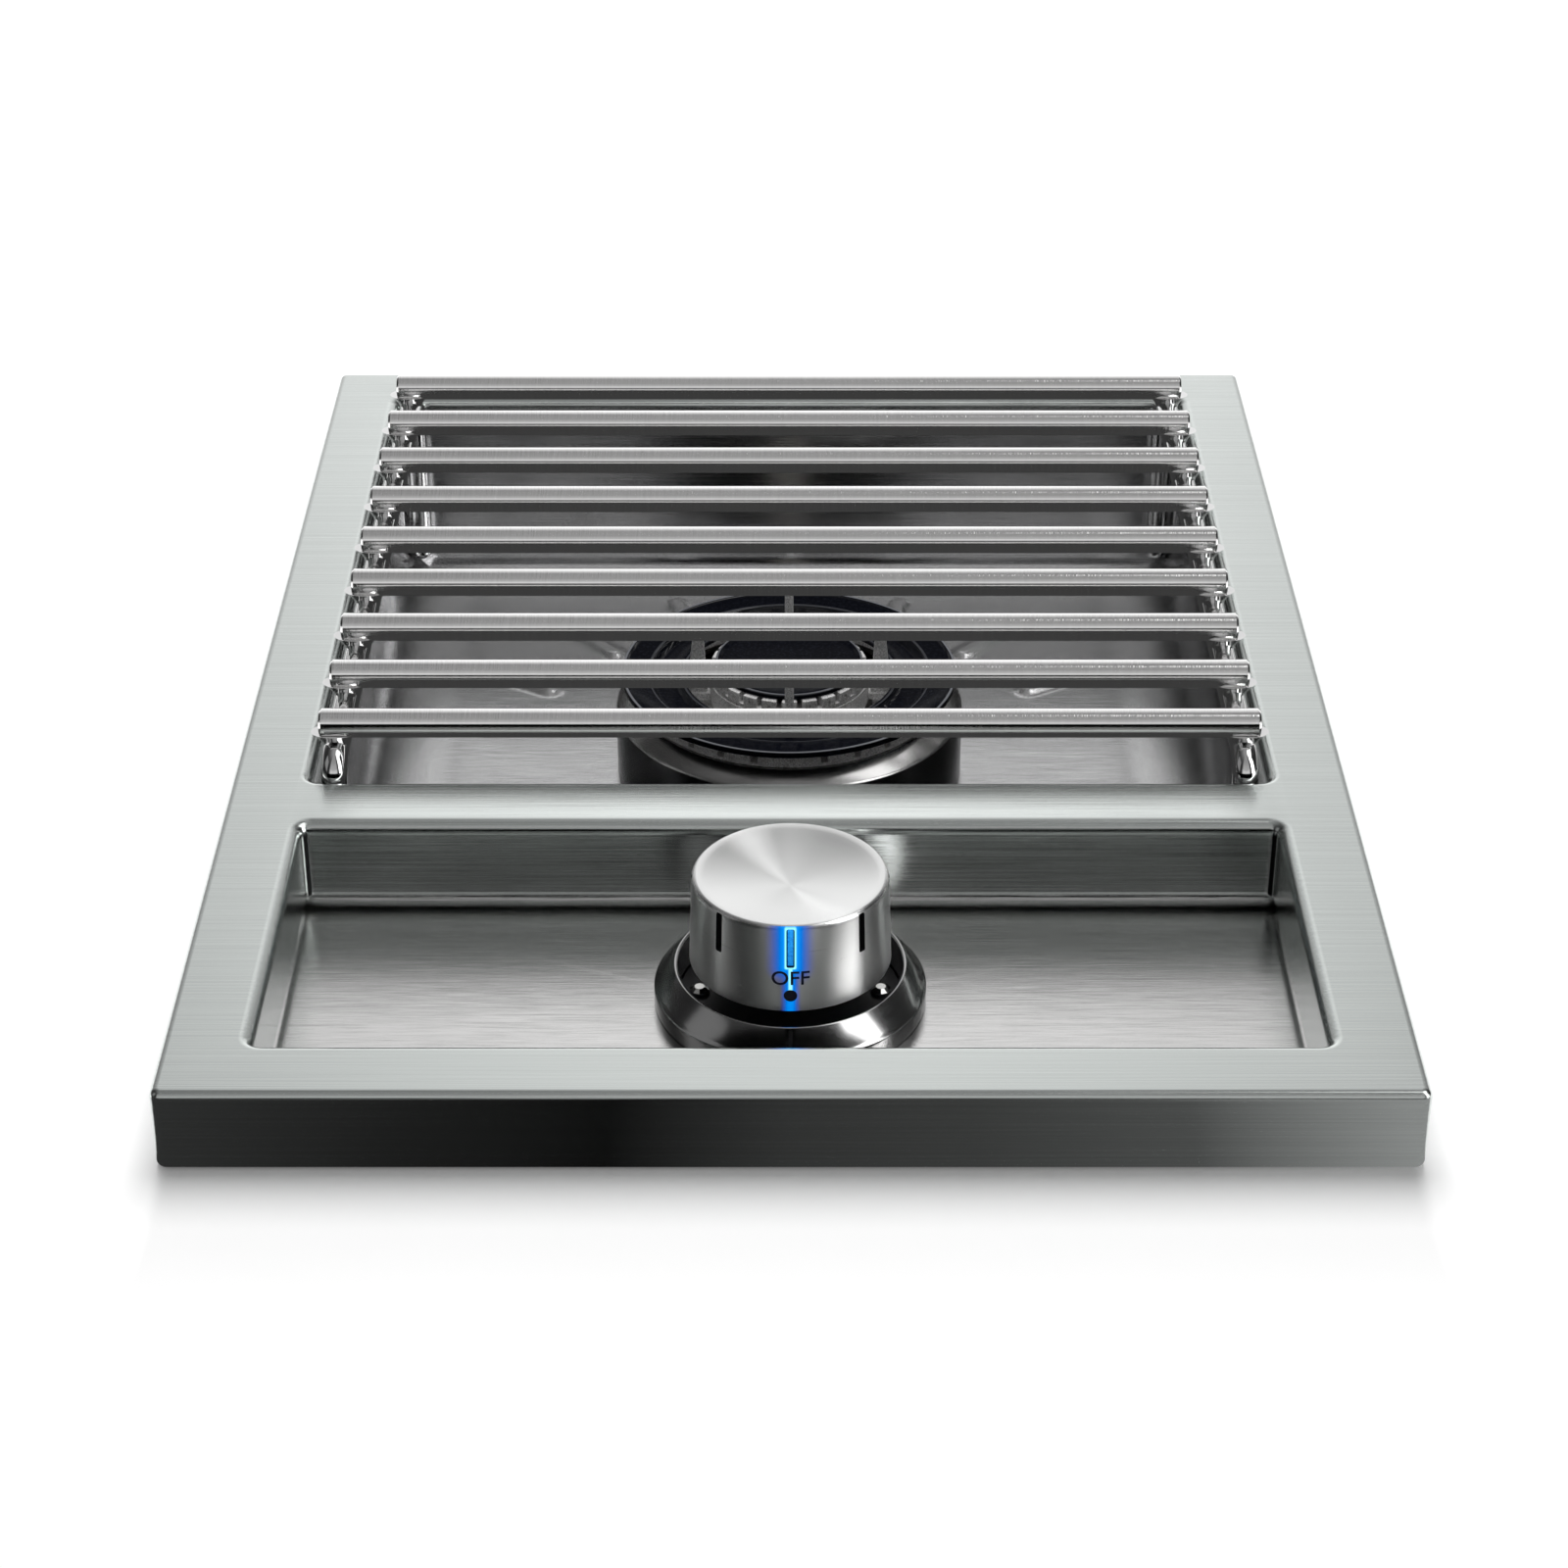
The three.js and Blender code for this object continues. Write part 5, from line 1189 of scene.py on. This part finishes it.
def inner_crown():
    profile = square_ring(RING_INNER, RING_OUTER, ring_low.z, ring_high.z)
    bm = lathe(profile, 0, BURNER_Y, 120, (1, 2), 0.3 * MM)
    piece = finished(bm, "small_ring", "cast_burner", "burner_crown", "inner_crown")
    tool = bmesh.new()
    pin_place = Matrix.Translation((RING_OUTER, 0, ring_high.z - 2 * MM)) @ LYING
    for place in range(SMALL_PORTS):
        turned = 360 * place / SMALL_PORTS
        cut_block(tool, (RING_INNER - MM, -MM, ring_high.z - 3.4 * MM),
                  (RING_OUTER + MM, MM, ring_high.z + MM),
                  round_axis(0, BURNER_Y, turned + 180 / SMALL_PORTS))
        bar(tool, PIN_HOLE, 2 * MM, round_axis(0, BURNER_Y, turned) @ pin_place, 12)
    return carve(piece, tool)


inner_crown()

# %% Model the enamelled caps
cap_low, cap_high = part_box("outer_cap")
CAP_RADIUS = (cap_high.x - cap_low.x) / 2
CAP_LIP = 0.8 * MM
CAP_WALL = 1.2 * MM
CAP_DROP = 3.4 * MM
RIM_PAINTED_HIGHLIGHTS = [(CAP_RADIUS - 0.5 * MM, 0.20), (48.4 * MM, 0.05), (37.0 * MM, 0.05), (24.9 * MM, 0.16)]
RIM_HIGHLIGHT_HALF_WIDTH = 0.25 * MM


def enamel(name):
    """Black glass, with thin painted highlights along the rims of the two caps."""
    finish = Finish(name, Specular_IOR_Level=0.02, IOR=1.5)
    peel = finish.noise(finish.place(), 220.0, 2.0)
    fleck = finish.noise(finish.place(), 900.0, 1.0)
    dark, light = colour(0.003, 0.0035, 0.006), colour(0.008, 0.009, 0.014)
    tone = finish.blend(fleck.between(0.45, 0.75), dark, light)
    x, y, _ = finish.axes(finish.place())
    away = (x * x + (y - BURNER_Y) ** 2.0) ** 0.5
    up = finish.facing()[2]
    # Painted highlights: thin pale lines along the caps' rims, on faces that look up.
    rims = sum(away.inside(radius - RIM_HIGHLIGHT_HALF_WIDTH, radius + RIM_HIGHLIGHT_HALF_WIDTH, RIM_HIGHLIGHT_HALF_WIDTH) * level
               for radius, level in RIM_PAINTED_HIGHLIGHTS)
    finish.set(Base_Color=finish.blend(rims * (up > 0.1), tone, colour(0.9, 0.93, 1.0)))
    finish.set(Roughness=0.12 + peel * 0.08, Coat_Weight=up.inside(0.2, 0.85, 0.1))
    return finish.bump(peel, 0.00004)


enamel("black_enamel")


def outer_cap():
    top = cap_high.z - CAP_LIP
    under = top - CAP_WALL
    valley, inner_lip = top - CAP_DROP, top - CAP_WALL
    outside = [(CAP_RADIUS, under), (CAP_RADIUS, cap_high.z), (CAP_RADIUS - MM, cap_high.z),
               (CAP_RADIUS - 2 * MM, top)]
    bowl = [
        (48.7 * MM, top), (48.0 * MM, top - 0.25 * MM), (47.3 * MM, top - 1.2 * MM),
        (46.6 * MM, valley + 0.5 * MM), (45.9 * MM, valley + 0.12 * MM), (44.8 * MM, valley),
        (39.5 * MM, valley), (38.4 * MM, valley + 0.5 * MM), (37.4 * MM, inner_lip), (36 * MM, inner_lip),
    ]
    below = [(36 * MM, inner_lip - CAP_WALL), (39.5 * MM, under - CAP_DROP), (46.3 * MM, under - CAP_DROP),
             (47.5 * MM, under), (CAP_RADIUS, under)]
    bm = lathe(outside + bowl + below, 0, BURNER_Y, 144, (1, 2), 0.3 * MM)
    return finished(bm, "cap_outer", "black_enamel", "outer_cap", "outer_cap", 50)


def inner_cap():
    low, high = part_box("inner_cap")
    radius = (high.x - low.x) / 2
    top = high.z - CAP_LIP
    skirt = RING_INNER - 0.3 * MM
    shelf = low.z + 1.2 * MM
    profile = [
        (0, top), (radius - 3 * MM, top), (radius - 2 * MM, top + 0.35 * MM), (radius - MM, high.z),
        (radius, high.z), (radius, shelf), (skirt, shelf), (skirt, low.z), (0, low.z),
    ]
    bm = lathe(profile, 0, BURNER_Y, 120, (3, 4), 0.25 * MM)
    return finished(bm, "cap_inner", "black_enamel", "inner_cap", "inner_cap", 50)


outer_cap()
inner_cap()

# %% [markdown]
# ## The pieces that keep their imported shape
# The casing, the valve, the gas side and the ignition are right as they are: flat sheet, turned brass
# and bent tube. Each of their material slots is named for its finish, so it is filled by that name.

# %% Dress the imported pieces
places = [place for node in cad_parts.values() for place in node.material_slots]
for place in places:
    place.material = FINISHES[place.name.split(".")[0]]
print("dressed", len(places), "slots with", len(FINISHES), "finishes made")

# %% [markdown]
# ## The counter, the floor and the light
# The burner hangs by its flange in a cut-out, so a pale piece of counter lies under the flange, and a
# pale floor lies under the casing. The counter shows pure white to the camera beyond the soft shadow,
# as the photograph's background does. The light is plain: an even white world and one soft lamp above.
# Polished steel only shows what stands round it. The reflections in the photograph suggest a bright
# wall behind the burner, a grey ceiling, a dim room in front and a tall strip light at the right. A
# dome that only reflections can see holds such a room, and a dark card in front is what the front
# flange mirrors.

# %% The counter and the floor
COUNTER_Z = TOP_Z - FLANGE_DROP
casing_low, casing_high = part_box("casing_left")[0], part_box("casing_right")[1]
CUT_OUT_GAP = 2 * MM


def white_for(nodes):
    """One for the rays that look at the background, directly or in metal and glass."""
    kinds = ("Is Camera Ray", "Is Glossy Ray", "Is Transmission Ray")
    return sum(nodes.node("LightPath", output=kind) for kind in kinds).at_most(1.0)


def pale(name, grey, lift, lift_beyond):
    """A matt pale surface that shows white to the camera beyond the front shadow."""
    finish = Finish(name, Roughness=0.9, Emission_Strength=1.0)
    finish.material.cycles.emission_sampling = "NONE"
    place = finish.place()
    tint = (grey, grey, grey)
    finish.set(Base_Color=finish.blend(finish.noise(place, 35.0, 3.0), shade_of(tint, 0.985), colour(*tint)))
    x, y, _ = finish.axes(place)
    beside = abs(x).between(frame_high.x - 4 * MM, frame_high.x + MM)
    behind = y.between(frame_low.y + 3 * MM, frame_low.y + 8 * MM)
    before = 1.0 - y.between(frame_low.y - 75 * MM, frame_low.y - 25 * MM)
    clear = beside.at_least(behind).at_least(before) * finish.facing()[2].between(0.4, 0.6)
    level = clear * (lift_beyond - lift) + lift
    finish.set(Emission_Color=finish.scaled((1, 1, 1), white_for(finish) * level))


def stage_sheet(name, low, high, place, hole=None, thickness=None):
    """A flat stage piece with the finish of its name, and a hole in it where one is given."""
    bm = bmesh.new()
    loops = []
    for corners in [(low, high)] + ([hole] if hole else []):
        face = rect_face(bm, *corners)[0].link_faces[0]
        loops += list(face.edges)
        if hole:
            bmesh.ops.delete(bm, geom=[face], context="FACES_ONLY")
    if hole:
        bmesh.ops.triangle_fill(bm, edges=loops, use_beauty=True, normal=UP)
    bmesh.ops.recalc_face_normals(bm, faces=bm.faces)
    if bm.faces[:][0].normal.z < 0:
        bmesh.ops.reverse_faces(bm, faces=bm.faces)
    bmesh.ops.transform(bm, matrix=place, verts=bm.verts)
    sheet = mesh_object(bm, name, name)
    if thickness:
        thicken(sheet, thickness)
    return sheet


def at_height(z):
    return Matrix.Translation((0, 0, z))


pale("counter", 0.93, 0.11, 0.22)
pale("floor", 0.84, 0.75, 0.75)
cut_out = (casing_low.xy - Vector((CUT_OUT_GAP, CUT_OUT_GAP)),
           casing_high.xy + Vector((CUT_OUT_GAP, CUT_OUT_GAP)))
counter = stage_sheet("counter", (-0.235, -0.46), (0.235, 0.29), at_height(COUNTER_Z - 0.2 * MM), cut_out,
                      20 * MM)
counter.visible_shadow = False
stage_sheet("floor", (-5, -5), (5, 5), at_height(-0.2 * MM))
print("stage: counter at", round(COUNTER_Z, 4), "floor at 0")

# %% The world and the lamp
WORLD_DIFFUSE = 0.22


def plain_world():
    """White for the rays that look at it, and a plain soft level for the rest."""
    world = bpy.context.scene.world = bpy.data.worlds.new("white_room")
    sky = NodeTree(world)
    background = sky.tree.nodes["Background"]
    background.inputs["Color"].default_value = colour(1, 1, 1)
    seen = white_for(sky)
    sky.feed(background.inputs["Strength"], seen + (1.0 - seen) * WORLD_DIFFUSE)


def overhead_lamp(place, target, size, watts):
    light = bpy.data.lights.new("overhead", "AREA")
    light.shape = "RECTANGLE"
    light.size, light.size_y = size
    light.energy = watts
    lamp = linked("overhead", light)
    lamp.location = place
    lamp.rotation_euler = (Vector(target) - Vector(place)).to_track_quat("-Z", "Y").to_euler()
    lamp.visible_glossy = False


plain_world()
overhead_lamp((0, 0.45, 1.58), (0, -0.231, 0.135), (0.9, 1.2), 24)
print("world and lamp ready")

# %% [markdown]
# ## The mirrored room
# Only reflections see these stage pieces. Directions are given in degrees: the turn is 0 in front of
# the burner, 90 at its right and 180 behind it, and the height is 0 at the horizon and 90 overhead.
# The wall behind the burner is bright, dims towards the ceiling and fades to both sides. In front the
# room is dark low down, under a soft band at 20 to 31 degrees. At the right are a tall strip and a high
# box, and at the left a faint box. Rounded steel shows them as lines.

# %% Build the mirrored room
ROOM_RADIUS = 6.0
WALL_LEVELS = [(0, 1.30), (20, 1.28), (28, 1.02), (40, 0.95), (50, 0.75), (65, 0.45), (90, 0.33)]
WALL_SPREAD = [(0, 1.0), (4, 0.98), (10, 0.86), (16, 0.72), (26, 0.5), (40, 0.18), (55, 0.04), (90, 0.0)]
FRONT_LEVELS = [(0, 0.02), (10, 0.06), (15, 0.14), (20, 0.40), (24, 0.66), (31, 0.66), (36, 0.44),
                (46, 0.40), (60, 0.30), (90, 0.33)]
SIDE_LEVELS = [(0, 0.02), (40, 0.03), (60, 0.10), (75, 0.24), (90, 0.33)]
TALL_STRIP = ((56.5, 80.5), (5, 60), 1.5, 3.6)
HIGH_BOX = ((62, 118), (50, 76), 5.0, 1.9)
LEFT_BOX = ((-92, -66), (18, 42), 6.0, 0.25)


def only_mirrored(piece):
    """Let a stage piece show in reflections and nowhere else."""
    for rays in ("camera", "diffuse", "transmission", "shadow", "volume_scatter"):
        setattr(piece, "visible_" + rays, False)


def black(name):
    """A black stage finish, whose own glow is all that reflections show."""
    finish = Finish(name, Roughness=1.0, Specular_IOR_Level=0.0, Emission_Strength=1.0)
    finish.material.cycles.emission_sampling = "NONE"
    return finish.set(Base_Color=colour(0, 0, 0))


def room():
    finish = black("mirrored_room")
    x, y, z = finish.axes(finish.place())
    turned = finish.maths("ARCTAN2", x, -y) * math.degrees(1)
    height = finish.maths("ARCSINE", z / ROOM_RADIUS) * math.degrees(1)
    wall, front, side = (finish.axes(finish.ramp(height, levels, 0, 90))[0]
                         for levels in (WALL_LEVELS, FRONT_LEVELS, SIDE_LEVELS))
    spread = finish.axes(finish.ramp(180.0 - abs(turned), WALL_SPREAD, 0, 90))[0]
    ahead = 1.0 - abs(turned).between(28, 48)
    level = (wall * spread).at_least(front * ahead).at_least(side)
    for turns, heights, soft, strength in (TALL_STRIP, HIGH_BOX, LEFT_BOX):
        level = level.at_least(turned.inside(*turns, soft) * height.inside(*heights, 4.0) * strength)
    finish.set(Emission_Color=finish.scaled((1, 1, 1), level))


def mirrored_room():
    room()
    bm = bmesh.new()
    bmesh.ops.create_uvsphere(bm, u_segments=64, v_segments=32, radius=ROOM_RADIUS)
    bmesh.ops.reverse_faces(bm, faces=bm.faces)
    dome = mesh_object(bm, "mirrored_room", "mirrored_room")
    dome.data.shade_smooth()
    only_mirrored(dome)


mirrored_room()
print("mirrored room ready")

# %% [markdown]
# ## Three cards
# A photographer darkens the edges of steel with black cards. One lies on the counter in front, a
# little lighter at its right end. One hangs under the rods and is black only from above, so the rods'
# undersides turn dark while the pan still sees the light through it. The third stands in front of the
# tray and glows faintly low in its middle, and upright faces in the tray mirror it.

# %% Hang the cards
FRONT_CARD = [(-0.18, 0.04), (-0.11, 0.018), (-0.05, 0.006), (0.0, 0.045), (0.05, 0.06), (0.11, 0.10),
              (0.17, 0.36)]
TRAY_CARD = [(-0.055, 0.0), (-0.04, 0.25), (-0.012, 0.35), (0.0, 0.32), (0.012, 0.55), (0.04, 0.55),
             (0.055, 0.0)]
ROD_CARD = [(-0.06, 0.045), (0.06, 0.045)]
FRONT_CARD_HALF = 0.2
ONE_WAY_HALF = 0.06
ROD_CARD_DEPTH = 1.8 * MM
TRAY_CARD_HALF = Vector((0.4, 37.3 * MM))
TRAY_CARD_FOOT = 0.4 * MM


def across(finish, levels, half):
    """A grey level that changes from the left end of a card to its right end."""
    x = finish.axes(finish.place())[0]
    return finish.ramp(x, levels, -half, half)


def front_card():
    finish = black("front_card")
    finish.set(Emission_Color=across(finish, FRONT_CARD, FRONT_CARD_HALF))


def one_way_card(name, clear_from, levels):
    """A dark card that is clear from behind, wherever Y is beyond the two places given."""
    finish = black(name)
    _, y, z = finish.axes(finish.place())
    clear = finish.node("NewGeometry", output="Backfacing") * y.between(*clear_from)
    mixed = finish.node("MixShader", inputs={
        0: clear, 1: Wire(finish, finish.shader.outputs[0]), 2: finish.node("BsdfTransparent")})
    finish.feed(finish.tree.nodes["Material Output"].inputs["Surface"], mixed)
    low = 1.0 - z.between(TOP_Z + 10 * MM, TOP_Z + 18 * MM)
    finish.set(Emission_Color=finish.scaled(across(finish, levels, ONE_WAY_HALF), low))


front_card()
one_way_card("rod_card", (-0.03, 0.0), ROD_CARD)
one_way_card("tray_card", (-1.0, -0.9), TRAY_CARD)
only_mirrored(stage_sheet("front_card", (-0.9, -1.4), (0.9, frame_low.y + 5 * MM),
                          at_height(COUNTER_Z - 0.1 * MM)))
only_mirrored(stage_sheet("rod_card", (-HALF_OPENING, pan_centre - pan_half),
                          (HALF_OPENING, pan_centre + pan_half), at_height(TOP_Z - ROD_CARD_DEPTH)))
card_place = Vector((0, frame_low.y + 3 * MM, TOP_Z + TRAY_CARD_FOOT + TRAY_CARD_HALF.y))
only_mirrored(stage_sheet("tray_card", -TRAY_CARD_HALF, TRAY_CARD_HALF,
                          Matrix.Translation(card_place) @ Matrix.Rotation(-math.pi / 2, 4, "X")))
print("cards hung")
